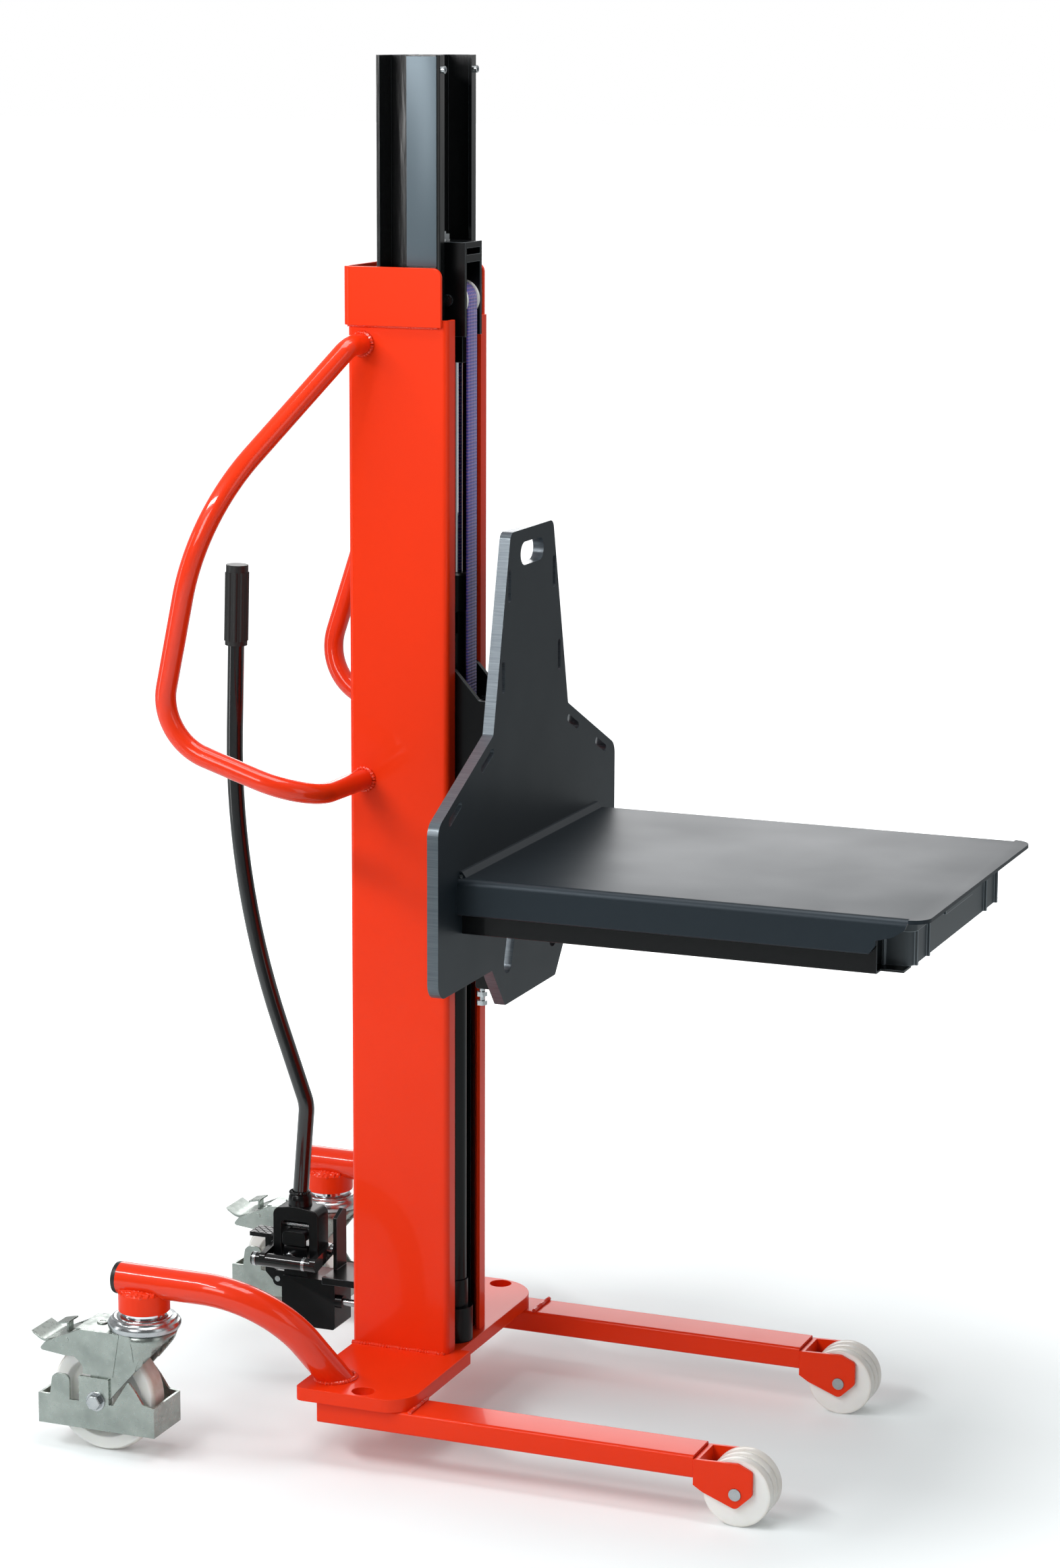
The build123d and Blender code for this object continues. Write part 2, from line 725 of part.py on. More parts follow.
# Pulley fork: two cheeks, bottom, top, a front bar and the socket for the rod
pulley_block = block(BLOCK_REAR, BLOCK_FRONT, -BLOCK_HALF, BLOCK_HALF, BLOCK_BOTTOM, BLOCK_TOP)
inside = BLOCK_HALF - BLOCK_SHEET
pulley_block -= block(BLOCK_REAR - 1, BLOCK_FRONT + 1, -inside, inside, BLOCK_BOTTOM + 8, BLOCK_TOP - 8)
pulley_block += block(BLOCK_FRONT - 5, BLOCK_FRONT, -inside, inside, BLOCK_TOP - 26, BLOCK_TOP - 16)
BELT_CLEARANCE = 2
front_run = RAM_X + PULLEY_RADIUS
pulley_block -= block(front_run - BELT_CLEARANCE, BLOCK_FRONT + 1, -inside, inside, BLOCK_BOTTOM - 1, BLOCK_BOTTOM + 9)
rear_run = RAM_X - PULLEY_RADIUS
pulley_block -= block(BLOCK_REAR - 1, rear_run + BELT_CLEARANCE, -inside, inside, BLOCK_BOTTOM - 1, BLOCK_BOTTOM + 9)
pulley_block -= rod_y(RAM_X, -40, 40, PULLEY_Z, PULLEY_PIN_RADIUS)
pulley_block -= rod_z(-36, 0, BLOCK_TOP - 9, BLOCK_TOP + 1, 5)
pulley_block += block(RAM_X - 16, RAM_X + 16, -16, 16, SOCKET_FOOT, BLOCK_BOTTOM)
pulley_block -= rod_z(RAM_X, 0, SOCKET_FOOT - 1, BLOCK_BOTTOM, ROD_RADIUS)
nodes["pulley_block"] = pulley_block
nodes["pulley_axle"] = rod_y(RAM_X, -BLOCK_HALF - 3, BLOCK_HALF + 3, PULLEY_Z, PULLEY_PIN_RADIUS)

# Bolt standing on the pulley fork
block_bolt = rod_z(-36, 0, BLOCK_TOP - 12, BLOCK_TOP + 12, 5)
block_bolt += rod_z(-36, 0, BLOCK_TOP, BLOCK_TOP + 2, 10)
block_bolt += Pos(-36, 0, BLOCK_TOP + 2) * extrude(RegularPolygon(8.5, 6, major_radius=False), amount=7)
nodes["block_bolt"] = block_bolt

# Belt pulley with two flanges
flange_half = BELT_HALF + 1.5
belt_pulley = lathe_y(
    [
        (PULLEY_PIN_RADIUS + RUNNING_FIT, -flange_half),
        (FLANGE_RADIUS, -flange_half),
        (FLANGE_RADIUS, -flange_half + FLANGE_THICKNESS - 0.4),
        (PULLEY_RADIUS - GAP, -BELT_HALF - 0.4),
        (PULLEY_RADIUS - GAP, BELT_HALF + 0.4),
        (FLANGE_RADIUS, flange_half - FLANGE_THICKNESS + 0.4),
        (FLANGE_RADIUS, flange_half),
        (PULLEY_PIN_RADIUS + RUNNING_FIT, flange_half),
    ],
    RAM_X,
    PULLEY_Z,
)
nodes["belt_pulley"] = belt_pulley

# Lifting belt: front run and half the wrap, rear run and the other half
belt_ring = lathe_y(
    [
        (PULLEY_RADIUS, -BELT_HALF),
        (PULLEY_RADIUS + BELT_THICKNESS, -BELT_HALF),
        (PULLEY_RADIUS + BELT_THICKNESS, BELT_HALF),
        (PULLEY_RADIUS, BELT_HALF),
    ],
    RAM_X,
    PULLEY_Z,
)
front_wrap = belt_ring & block(RAM_X, 50, -50, 50, PULLEY_Z, PULLEY_Z + 50)
rear_wrap = belt_ring & block(-100, RAM_X, -50, 50, PULLEY_Z, PULLEY_Z + 50)
front_belt = block(
    front_run, front_run + BELT_THICKNESS, -BELT_HALF, BELT_HALF, BELT_FRONT_END, PULLEY_Z,
)
rear_belt = block(
    rear_run - BELT_THICKNESS, rear_run, -BELT_HALF, BELT_HALF, BELT_REAR_END, PULLEY_Z,
)
nodes["lift_belt_front"] = front_belt + front_wrap
nodes["lift_belt_rear"] = rear_belt + rear_wrap

# Anchor that holds the rear end of the belt to the barrel
anchor = block(rear_run, RAM_X + 8, -22, 22, BELT_REAR_END, BARREL_TOP)
anchor += block(rear_run - BELT_THICKNESS - 4, rear_run, -22, 22, BELT_REAR_END - 6, BELT_REAR_END)
anchor += block(
    rear_run - BELT_THICKNESS - 4, rear_run - BELT_THICKNESS, -22, 22, BELT_REAR_END, BARREL_TOP,
)
anchor += block(rear_run, RAM_X + 8, -22, 22, BELT_REAR_END - 6, BELT_REAR_END)
anchor -= rod_z(RAM_X, 0, BELT_REAR_END - 10, BARREL_TOP + 1, BARREL_RADIUS)
nodes["belt_anchor"] = anchor

# Carriage: two cheeks with slanted tops, cross bars and guide stubs
cheek = plate_y(
    [
        (CHEEK_REAR, CHEEK_FOOT, 8),
        (CHEEK_REAR, CHEEK_TOP, 12),
        (-2.4, CHEEK_TOP, 4),
        (32.4, CHEEK_SHOULDER, 4),
        (FACE_REAR, CHEEK_SHOULDER),
        (FACE_REAR, CHEEK_TOE),
        (28, CHEEK_TOE, 4),
        (28, CHEEK_FOOT, 6),
    ],
    CHEEK_OUTSIDE - CHEEK_SHEET,
    CHEEK_OUTSIDE,
)
for z in (GUIDE_LOWER, GUIDE_UPPER):
    cheek += rod_y(GUIDE_X, CHEEK_OUTSIDE - 1, GUIDE_INSIDE, z, GUIDE_PIN_RADIUS + 3)
    cheek += rod_y(GUIDE_X, CHEEK_OUTSIDE - 1, GUIDE_INSIDE + GUIDE_WIDTH, z, GUIDE_PIN_RADIUS)
between = CHEEK_OUTSIDE - CHEEK_SHEET
carriage_frame = cheek + mirrored(cheek)
CLAMP_FACE = front_run + BELT_THICKNESS
carriage_frame += block(CLAMP_FACE, CLAMP_FACE + 10, -between - 1, between + 1, BELT_FRONT_END, 985)
carriage_frame += block(
    CLAMP_FACE + 10, FACE_REAR, -between - 1, between + 1, GUIDE_LOWER + 10, GUIDE_LOWER + 22,
)
nodes["carriage_frame"] = carriage_frame

# Clamp plate and screws that pinch the front end of the belt
clamp = block(front_run - 1.2, front_run, -26, 26, BELT_FRONT_END, 972)
clamp += block(front_run, CLAMP_FACE, -26, -BELT_HALF - 1, BELT_FRONT_END, 972)
clamp += block(front_run, CLAMP_FACE, BELT_HALF + 1, 26, BELT_FRONT_END, 972)
nodes["belt_clamp"] = clamp

# Adjusting screw under the right cheek
SCREW_X = 36
SCREW_Y = -CHEEK_OUTSIDE + CHEEK_SHEET / 2
screw = rod_z(SCREW_X, SCREW_Y, CHEEK_TOE - 16, CHEEK_TOE, 3.8)
screw += Pos(SCREW_X, SCREW_Y, CHEEK_TOE - 10) * extrude(RegularPolygon(6.5, 6, major_radius=False), amount=6)
screw += Pos(SCREW_X, SCREW_Y, CHEEK_TOE - 22) * extrude(RegularPolygon(6.5, 6, major_radius=False), amount=6)
nodes["carriage_screws"] = screw

# Guide rollers that run in the two channels
guide = lathe_y(
    [
        (GUIDE_PIN_RADIUS + RUNNING_FIT, GUIDE_INSIDE + GAP),
        (GUIDE_RADIUS, GUIDE_INSIDE + GAP, 1.5),
        (GUIDE_RADIUS, GUIDE_INSIDE + GUIDE_WIDTH, 1.5),
        (GUIDE_PIN_RADIUS + RUNNING_FIT, GUIDE_INSIDE + GUIDE_WIDTH),
    ],
    GUIDE_X,
    0,
)
nodes["guide_rollers_upper"] = Pos(0, 0, GUIDE_UPPER) * both_sides(guide)
nodes["guide_rollers_lower"] = Pos(0, 0, GUIDE_LOWER) * both_sides(guide)


def mirrored_outline(half_points):
    # Half outline from the top to the bottom, closed by its mirror image
    other = [(-point[0],) + tuple(point[1:]) for point in reversed(half_points)]
    return list(half_points) + other


def slot(y, z, length, width, lean):
    # Round-ended slot through the face plate, leaning by an angle from upright
    shape = Plane.YZ.offset(FACE_REAR - 1) * Pos(y, z) * Rot(0, 0, 90 + lean) * SlotOverall(length, width)
    return extrude(shape, amount=FACE_FRONT - FACE_REAR + 2)


# Face plate: narrow neck, sloping shoulders and a tapered tongue
face_plate = plate_x(
    mirrored_outline(
        [
            (74, 1218, 12),
            (131, 966, 5),
            (310, 880, 22),
            (310, 659, 22),
            (134, 659, 5),
            (89, 602.5, 4),
        ]
    ),
    FACE_REAR,
    FACE_FRONT,
)
face_plate -= slot(0, 1186, 80, 30, 90)
for side in (-1, 1):
    face_plate -= slot(side * 77.5, 1150, 42, 9.5, 0)
    face_plate -= slot(side * 97.5, 1036, 42, 9.5, 0)
    face_plate -= slot(side * 150, 937, 45, 10, side * 64.5)
    face_plate -= slot(side * 255, 888, 45, 10, side * 64.5)
    face_plate -= slot(side * 70, 690, 95, 27, side * 17)
nodes["face_plate"] = face_plate

# Platform: folded sheet with side flanges cut back at the front
deck = plate_z(
    [
        (FACE_FRONT, -DECK_HALF),
        (DECK_FRONT, -DECK_HALF, DECK_CORNER),
        (DECK_FRONT, DECK_HALF, DECK_CORNER),
        (FACE_FRONT, DECK_HALF),
    ],
    DECK_TOP - DECK_SHEET,
    DECK_TOP,
)
FLANGE_END = 675
fold = plate_x(
    [
        (DECK_HALF - 30, DECK_TOP - DECK_SHEET),
        (DECK_HALF - 30, DECK_TOP),
        (DECK_HALF, DECK_TOP, FLANGE_BEND),
        (DECK_HALF, FLANGE_FOOT, 3),
        (RUNNER_OUTSIDE, FLANGE_FOOT),
        (RUNNER_OUTSIDE, FLANGE_FOOT + 3),
        (DECK_HALF - DECK_SHEET, FLANGE_FOOT + 3),
        (DECK_HALF - DECK_SHEET, DECK_TOP - DECK_SHEET, FLANGE_BEND - DECK_SHEET),
    ],
    FACE_FRONT,
    FLANGE_END,
)
fold -= plate_y(
    [
        (FLANGE_END + 1, 820),
        (FLANGE_END, DECK_TOP - 2),
        (671, 791, 8),
        (656, 781, 12),
        (635, 775),
        (635, 769),
        (625, FLANGE_FOOT - 1),
        (FLANGE_END + 1, FLANGE_FOOT - 1),
    ],
    DECK_HALF - 32,
    DECK_HALF + 1,
)
deck -= block(FACE_FRONT - 1, FLANGE_END, DECK_HALF - 30, DECK_HALF + 1, 700, 900)
deck -= block(FACE_FRONT - 1, FLANGE_END, -DECK_HALF - 1, -DECK_HALF + 30, 700, 900)
platform = deck + fold + mirrored(fold)
platform += plate_y(
    [(FACE_FRONT, DECK_TOP), (FACE_FRONT + 8, DECK_TOP), (FACE_FRONT + 3, DECK_TOP + 7, 2), (FACE_FRONT, DECK_TOP + 8)],
    -DECK_HALF + 10,
    DECK_HALF - 10,
)
nodes["platform"] = platform

# Tray runners: angles welded below the deck
runner = plate_x(
    [
        (RUNNER_OUTSIDE, RUNNER_FOOT, 2),
        (RUNNER_OUTSIDE, DECK_TOP - DECK_SHEET),
        (RUNNER_OUTSIDE - RUNNER_SHEET, DECK_TOP - DECK_SHEET),
        (RUNNER_OUTSIDE - RUNNER_SHEET, RUNNER_FOOT + RUNNER_SHEET),
        (185, RUNNER_FOOT + RUNNER_SHEET),
        (185, RUNNER_FOOT),
    ],
    FACE_FRONT,
    RUNNER_FRONT,
)
runner += block(RUNNER_FRONT - 1, 662, 185, 217, RUNNER_FOOT, RUNNER_FOOT + RUNNER_SHEET)
nodes["tray_runners"] = both_sides(runner)

# Tray: open box with a rim band, recessed walls and ribs
TRAY_FLOOR = RUNNER_FOOT + RUNNER_SHEET
BAND_FOOT = 777
RECESS = 4


def tray_shell(inset, z0, z1):
    length = TRAY_FRONT - TRAY_REAR - 2 * inset
    width = 2 * (TRAY_HALF - inset)
    middle = Pos((TRAY_FRONT + TRAY_REAR) / 2, 0, (z0 + z1) / 2)
    box = middle * Box(length, width, z1 - z0)
    return fillet(box.edges().filter_by(Axis.Z), 12)


tray = tray_shell(RECESS, TRAY_FLOOR, TRAY_TOP)
tray += tray_shell(0, BAND_FOOT, TRAY_TOP)
tray -= tray_shell(RECESS + TRAY_WALL, TRAY_FLOOR + TRAY_WALL, TRAY_TOP + 1)
for side in (-1, 1):
    for x in (TRAY_REAR + 40, 290, 480, TRAY_FRONT - 40):
        rib = block(x - 2, x + 2, TRAY_HALF - RECESS - 1, TRAY_HALF, TRAY_FLOOR, BAND_FOOT)
        tray += rib if side > 0 else mirrored(rib)
    for y in (132, 184):
        rib = block(TRAY_FRONT - RECESS - 1, TRAY_FRONT, side * y - 2, side * y + 2, TRAY_FLOOR, BAND_FOOT)
        tray += rib
tray += block(TRAY_FRONT - RECESS - 1, TRAY_FRONT, -62, 62, BAND_FOOT - 7, BAND_FOOT)
nodes["tray"] = tray

# Pump body with the bracket that carries it behind the mast
pump_body = plate_y(
    [
        (-280, 90, 4),
        (-200, 90, 4),
        (-200, 160),
        (-280, 160, 4),
    ],
    6,
    60,
)
TOWER_LEFT = -277
TOWER_RIGHT = -242
tower = plate_x(
    [(8, 158), (8, 204, 5), (44, 204, 8), (44, 158)],
    TOWER_LEFT,
    TOWER_RIGHT,
)
pump_body += tower
for y0, y1 in ((28, 33.5), (42.5, 48)):
    pump_body += plate_y(
        [(-279, 134), (-279, 158), (-304, 158, 8), (-304, 136, 8)],
        y0,
        y1,
    )
pump_body += rod_x(-201, -190, PIPE_Y, PIPE_Z, 9)
pump_body -= rod_z(PLUNGER_X, PLUNGER_Y, 160, 210, PLUNGER_RADIUS + RUNNING_FIT)
pump_body -= rod_x(TOWER_LEFT - 1, TOWER_RIGHT + 1, ROCKER_Y, ROCKER_Z, ROCKER_PIN_RADIUS)
pump_body -= rod_y(RELEASE_X, 20, 60, RELEASE_Z, RELEASE_PIN_RADIUS)
pump_body += rod_y(-266, 1, 8, 188, 6.5)
nodes["pump_body"] = pump_body

bracket = block(-212, -MAST_DEPTH, -10, 64, 160, 170)
bracket += plate_x(
    [(28, 170), (28, 243), (50, 252), (60, 248), (60, 170)],
    -212,
    -206,
)
nodes["pump_bracket"] = bracket

# Pressure pipe from the pump through the mast to the ram foot
nodes["pressure_pipe"] = rod_x(-190, RAM_X - 12, PIPE_Y, PIPE_Z, PIPE_RADIUS)

# Pivot pins of the rocker and the release pedal
rocker_pin = rod_x(-305, -213, ROCKER_Y, ROCKER_Z, ROCKER_PIN_RADIUS - RUNNING_FIT)
release_pin = rod_y(RELEASE_X, 26, 50, RELEASE_Z, RELEASE_PIN_RADIUS - RUNNING_FIT)
nodes["pump_pins"] = Compound([rocker_pin, release_pin])

# Rocker yoke: rounded frame with a window, socket for the lever on top
yoke = plate_y(
    [
        (YOKE_LEFT, 186, 6),
        (YOKE_LEFT, YOKE_TOP - 4, 10),
        (-259, YOKE_TOP + 1),
        (YOKE_RIGHT, YOKE_TOP - 4, 10),
        (YOKE_RIGHT, 186, 6),
    ],
    YOKE_NEAR,
    YOKE_FAR,
)
yoke -= block(WINDOW_LEFT, WINDOW_RIGHT, YOKE_NEAR - 1, YOKE_FAR + 1, 180, WINDOW_TOP)
yoke += lathe_z([(0, 240), (17, 240), (17, 256, 4), (13, 266, 3), (0, 266)], -259, PUMP_Y)
yoke -= rod_x(YOKE_LEFT - 1, YOKE_RIGHT + 1, ROCKER_Y, ROCKER_Z, ROCKER_PIN_RADIUS)
nodes["pump_yoke"] = yoke

# Hand lever: bent tube standing in the yoke socket, with a fluted grip
lever_path = [
    (Vector(-260.2, PUMP_Y, 252), 0),
    (Vector(-248, PUMP_Y, 402), 50),
    (Vector(-357, PUMP_Y, 707), 1100),
    (Vector(-345.7, PUMP_Y, 1112), 0),
]
nodes["pump_lever"] = tube(lever_path, LEVER_RADIUS, LEVER_WALL)
nodes["pump_yoke"] = yoke - tube(lever_path, LEVER_RADIUS, 0)
lever_top = Plane(origin=(-347.9, PUMP_Y, GRIP_FOOT), z_dir=(11.3, 0, 405))
grip_length = GRIP_TOP - GRIP_FOOT
grip = Pos(0, 0, grip_length / 2) * Cylinder(GRIP_RADIUS - 1.5, grip_length)
FLUTES = 10
for i in range(FLUTES):
    flute = Rot(0, 0, 360 * i / FLUTES) * Pos(GRIP_RADIUS - 3, 0, grip_length / 2 - 2) * Cylinder(3, grip_length - 16)
    grip += flute
nodes["lever_grip"] = lever_top * grip - tube(lever_path, LEVER_RADIUS, 0)

# Foot stirrup on the same pivot
stirrup_arm = plate_x(
    [(44, 188, 7), (44, 205, 7), (-22, 196, 7), (-22, 176, 7)],
    YOKE_RIGHT,
    YOKE_RIGHT + 8,
)
stirrup_arm -= rod_x(YOKE_RIGHT - 1, YOKE_RIGHT + 9, ROCKER_Y, ROCKER_Z, ROCKER_PIN_RADIUS)
left_arm = Pos(YOKE_LEFT - YOKE_RIGHT - 8, 0, 0) * stirrup_arm
stirrup = stirrup_arm + left_arm
stirrup += rod_x(-314, YOKE_RIGHT + 7, STIRRUP_BAR_Y, STIRRUP_BAR_Z, STIRRUP_BAR_RADIUS)
nodes["foot_stirrup"] = stirrup

# Roller that presses the plunger down
nodes["press_roller"] = rod_x(WINDOW_LEFT, WINDOW_RIGHT, 22, 230, 4.5)

# Pump plunger with its broad cap
plunger = plate_y(
    [(-276, 213, 4), (-276, 225.2, 5), (-243, 225.2, 5), (-243, 213, 4)],
    10,
    36,
)
plunger += rod_z(PLUNGER_X, PLUNGER_Y, 176, 214, PLUNGER_RADIUS)
nodes["pump_plunger"] = plunger

# Release pedal with a chequered pad
release = plate_y(
    [
        (-318, 205),
        (-306, 205),
        (-306, 158),
        (-289, 153, 4),
        (-289, 138, 6),
        (-304, 138, 6),
        (-318, 152, 4),
    ],
    34,
    42,
)
release -= rod_y(RELEASE_X, 30, 50, RELEASE_Z, RELEASE_PIN_RADIUS)
pad = block(-336, -304, 22, 54, 205, 211)
for i in range(4):
    groove = block(-345, -295, -0.8, 0.8, 210.2, 212)
    pad -= Pos(-320, 38, 0) * Rot(0, 0, 45) * Pos(320, -12 + 8 * i, 0) * groove
    pad -= Pos(-320, 38, 0) * Rot(0, 0, -45) * Pos(320, -12 + 8 * i, 0) * groove
nodes["release_pedal"] = release + pad

# Shift the set so that x = 0 lies under the middle of the bounding box
whole = Compound(list(nodes.values())).bounding_box()
shift = round(-(whole.min.X + whole.max.X) / 2, 3)
print("box", whole.min, whole.max, "shift", shift)
for name, solid in nodes.items():
    placed = Pos(shift, 0, 0) * solid
    export_step(placed, "parts/" + name + ".step")
print(len(nodes), "nodes")
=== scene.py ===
import json
import math

import bmesh
import bpy
from mathutils import Matrix, Quaternion, Vector

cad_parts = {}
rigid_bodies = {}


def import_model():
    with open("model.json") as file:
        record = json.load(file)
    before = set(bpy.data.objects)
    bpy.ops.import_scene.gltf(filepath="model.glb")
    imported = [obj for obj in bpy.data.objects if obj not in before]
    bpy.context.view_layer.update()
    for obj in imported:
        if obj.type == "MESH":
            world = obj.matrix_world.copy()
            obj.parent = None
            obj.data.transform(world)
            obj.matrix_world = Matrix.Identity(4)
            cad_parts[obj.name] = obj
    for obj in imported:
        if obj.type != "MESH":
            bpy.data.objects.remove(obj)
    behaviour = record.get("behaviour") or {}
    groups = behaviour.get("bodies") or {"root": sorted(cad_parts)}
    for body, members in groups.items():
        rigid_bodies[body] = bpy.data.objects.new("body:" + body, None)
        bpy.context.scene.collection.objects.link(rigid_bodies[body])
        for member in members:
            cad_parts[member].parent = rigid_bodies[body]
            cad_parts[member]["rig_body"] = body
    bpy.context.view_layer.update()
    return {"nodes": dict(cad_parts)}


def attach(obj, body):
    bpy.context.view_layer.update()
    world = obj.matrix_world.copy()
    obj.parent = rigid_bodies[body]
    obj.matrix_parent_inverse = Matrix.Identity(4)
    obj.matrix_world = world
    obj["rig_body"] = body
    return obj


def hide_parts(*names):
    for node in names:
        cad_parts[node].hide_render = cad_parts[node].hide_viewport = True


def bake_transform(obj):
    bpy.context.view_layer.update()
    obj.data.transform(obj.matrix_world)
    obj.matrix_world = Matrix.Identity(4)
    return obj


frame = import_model()
scene = bpy.context.scene
scene.view_settings.view_transform = "Standard"

# Camera: it stands off the right front of the machine, a little above its top, and
# looks slightly down, with a long lens.
CAMERA_AZIMUTH = math.radians(21.765)
CAMERA_ELEVATION = math.radians(11.231)
CAMERA_ROLL = math.radians(0.2306)
CAMERA_PLACE = Vector((1.8185, -4.5922, 1.861))
IMAGE_HEIGHT = 2324
FOCAL_PIXELS = 5722
camera_data = bpy.data.cameras.new("camera")
camera_data.lens = camera_data.sensor_width * FOCAL_PIXELS / IMAGE_HEIGHT
camera = bpy.data.objects.new("camera", camera_data)
scene.collection.objects.link(camera)
scene.camera = camera
toward_camera = Vector((
    math.sin(CAMERA_AZIMUTH) * math.cos(CAMERA_ELEVATION),
    -math.cos(CAMERA_AZIMUTH) * math.cos(CAMERA_ELEVATION),
    math.sin(CAMERA_ELEVATION),
))
level = (-toward_camera).to_track_quat("-Z", "Y")
camera.rotation_mode = "QUATERNION"
camera.rotation_quaternion = level @ Quaternion((0, 0, 1), CAMERA_ROLL)
camera.location = CAMERA_PLACE

# Studio: a white paper floor that runs out into a white surround; a long key lamp, a
# soft window and a narrow strip on the left, a broad roof above, a weak fill on the
# right and one lamp behind.
def linear(code):
    # An sRGB hex code as the linear colour that a shader takes
    channels = [int(code[i:i + 2], 16) / 255 for i in (1, 3, 5)]
    return [c / 12.92 if c <= 0.04045 else ((c + 0.055) / 1.055) ** 2.4 for c in channels] + [1]


def add_node(tree, kind, settings=None, links=None):
    # One shader node: settings fill its sockets or options, links feed its sockets
    made = tree.nodes.new(kind)
    for name, value in (settings or {}).items():
        if isinstance(name, int) or name in made.inputs:
            made.inputs[name].default_value = value
        else:
            setattr(made, name, value)
    for name, source in (links or {}).items():
        tree.links.new(source, made.inputs[name])
    return made


FLOOR_HALF = 60
floor_mesh = bmesh.new()
bmesh.ops.create_grid(floor_mesh, x_segments=1, y_segments=1, size=FLOOR_HALF)
floor_data = bpy.data.meshes.new("floor")
floor_mesh.to_mesh(floor_data)
floor_mesh.free()
floor = bpy.data.objects.new("floor", floor_data)
scene.collection.objects.link(floor)

# Matt white paper: seen straight it is lifted to white, least beside the machine,
# so that its shadow stays
FLOOR_LIFT = 0.12
paper = bpy.data.materials.new("matt_white_paper")
paper.use_nodes = True
tree = paper.node_tree
tree.nodes.clear()
matt = add_node(tree, "ShaderNodeBsdfDiffuse", {"Color": linear("#e7edee")})
seen = add_node(tree, "ShaderNodeLightPath")
place = add_node(tree, "ShaderNodeTexCoord")
reach = add_node(tree, "ShaderNodeVectorMath", {"operation": "LENGTH"}, {0: place.outputs["Object"]})
lift = add_node(
    tree, "ShaderNodeMapRange", {"From Min": 0.55, "From Max": 1.7, "To Min": FLOOR_LIFT, "To Max": 1.0},
    {"Value": reach.outputs["Value"]},
)
lifted = add_node(
    tree, "ShaderNodeMath", {"operation": "MULTIPLY"},
    {0: seen.outputs["Is Camera Ray"], 1: lift.outputs[0]},
)
glow = add_node(tree, "ShaderNodeEmission", {"Color": linear("#ffffff")}, {"Strength": lifted.outputs[0]})
both = add_node(tree, "ShaderNodeAddShader", None, {0: matt.outputs[0], 1: glow.outputs[0]})
add_node(tree, "ShaderNodeOutputMaterial", None, {"Surface": both.outputs[0]})
floor_data.materials.append(paper)

# Surround: plain white to the camera; the light it gives is weaker from the front
WORLD_FRONT = 0.14
WORLD_BACK = 0.55
world = bpy.data.worlds.new("studio")
scene.world = world
world.use_nodes = True
tree = world.node_tree
tree.nodes.clear()
direction = add_node(tree, "ShaderNodeTexCoord")
parts = add_node(tree, "ShaderNodeSeparateXYZ", None, {0: direction.outputs["Generated"]})
depth = add_node(
    tree, "ShaderNodeMapRange",
    {"From Min": -0.6, "From Max": 0.8, "To Min": WORLD_FRONT, "To Max": WORLD_BACK},
    {"Value": parts.outputs["Y"]},
)
path = add_node(tree, "ShaderNodeLightPath")
strength = add_node(
    tree, "ShaderNodeMix", {"data_type": "FLOAT", 3: 1.0},
    {0: path.outputs["Is Camera Ray"], 2: depth.outputs[0]},
)
sky = add_node(tree, "ShaderNodeBackground", {"Color": linear("#ffffff")}, {"Strength": strength.outputs[0]})
add_node(tree, "ShaderNodeOutputWorld", None, {"Surface": sky.outputs[0]})

for name, place, target, width, height, power in (
    ("lamp_key", (-1.7, -2.1, 2.75), (-0.1, 0, 0.75), 2.4, 0.2, 60),
    ("lamp_window", (-0.9, -3.4, 2.0), (0, 0, 0.9), 1.2, 1.0, 29),
    ("lamp_strip", (-2.9, -1.3, 1.1), (-0.2, 0, 0.9), 0.4, 2.0, 10),
    ("lamp_roof", (0.1, -0.3, 3.3), (0.1, 0, 0), 1.5, 1.4, 42),
    ("lamp_fill", (3.2, -1.6, 1.5), (0, 0, 0.9), 1.2, 2.0, 9),
    ("lamp_back", (-1.5, 3.7, 1.7), (0.3, 0, 0.75), 2.4, 1.3, 34),
):
    lamp_data = bpy.data.lights.new(name, "AREA")
    lamp_data.shape = "RECTANGLE"
    lamp_data.size = width
    lamp_data.size_y = height
    lamp_data.energy = power
    lamp = bpy.data.objects.new(name, lamp_data)
    lamp.location = place
    lamp.rotation_mode = "QUATERNION"
    lamp.rotation_quaternion = (Vector(target) - lamp.location).to_track_quat("-Z", "Y")
    scene.collection.objects.link(lamp)

# Welded frame: base plate, legs, fork ends, mast channel, collar and arms are steel,
# welded together and powder coated in one glossy red-orange.
MM = 0.001


def plain_surface(name, colour, metallic, roughness):
    # A material with its one shader set, returned with the tree that dresses it
    made = bpy.data.materials.new(name)
    made.use_nodes = True
    shader = made.node_tree.nodes["Principled BSDF"]
    shader.inputs["Base Color"].default_value = linear(colour)
    shader.inputs["Metallic"].default_value = metallic
    shader.inputs["Roughness"].default_value = roughness
    return made, made.node_tree, shader


def orange_peel(tree, shader, ripple, height):
    # Soft ripples of sprayed powder after it has flowed out in the oven
    place = add_node(tree, "ShaderNodeTexCoord")
    waves = add_node(
        tree, "ShaderNodeTexNoise", {"Scale": 1 / ripple, "Detail": 3.0, "Roughness": 0.6},
        {"Vector": place.outputs["Object"]},
    )
    bump = add_node(
        tree, "ShaderNodeBump", {"Strength": 0.5, "Distance": height}, {"Height": waves.outputs["Fac"]},
    )
    tree.links.new(bump.outputs["Normal"], shader.inputs["Normal"])
    return place, waves


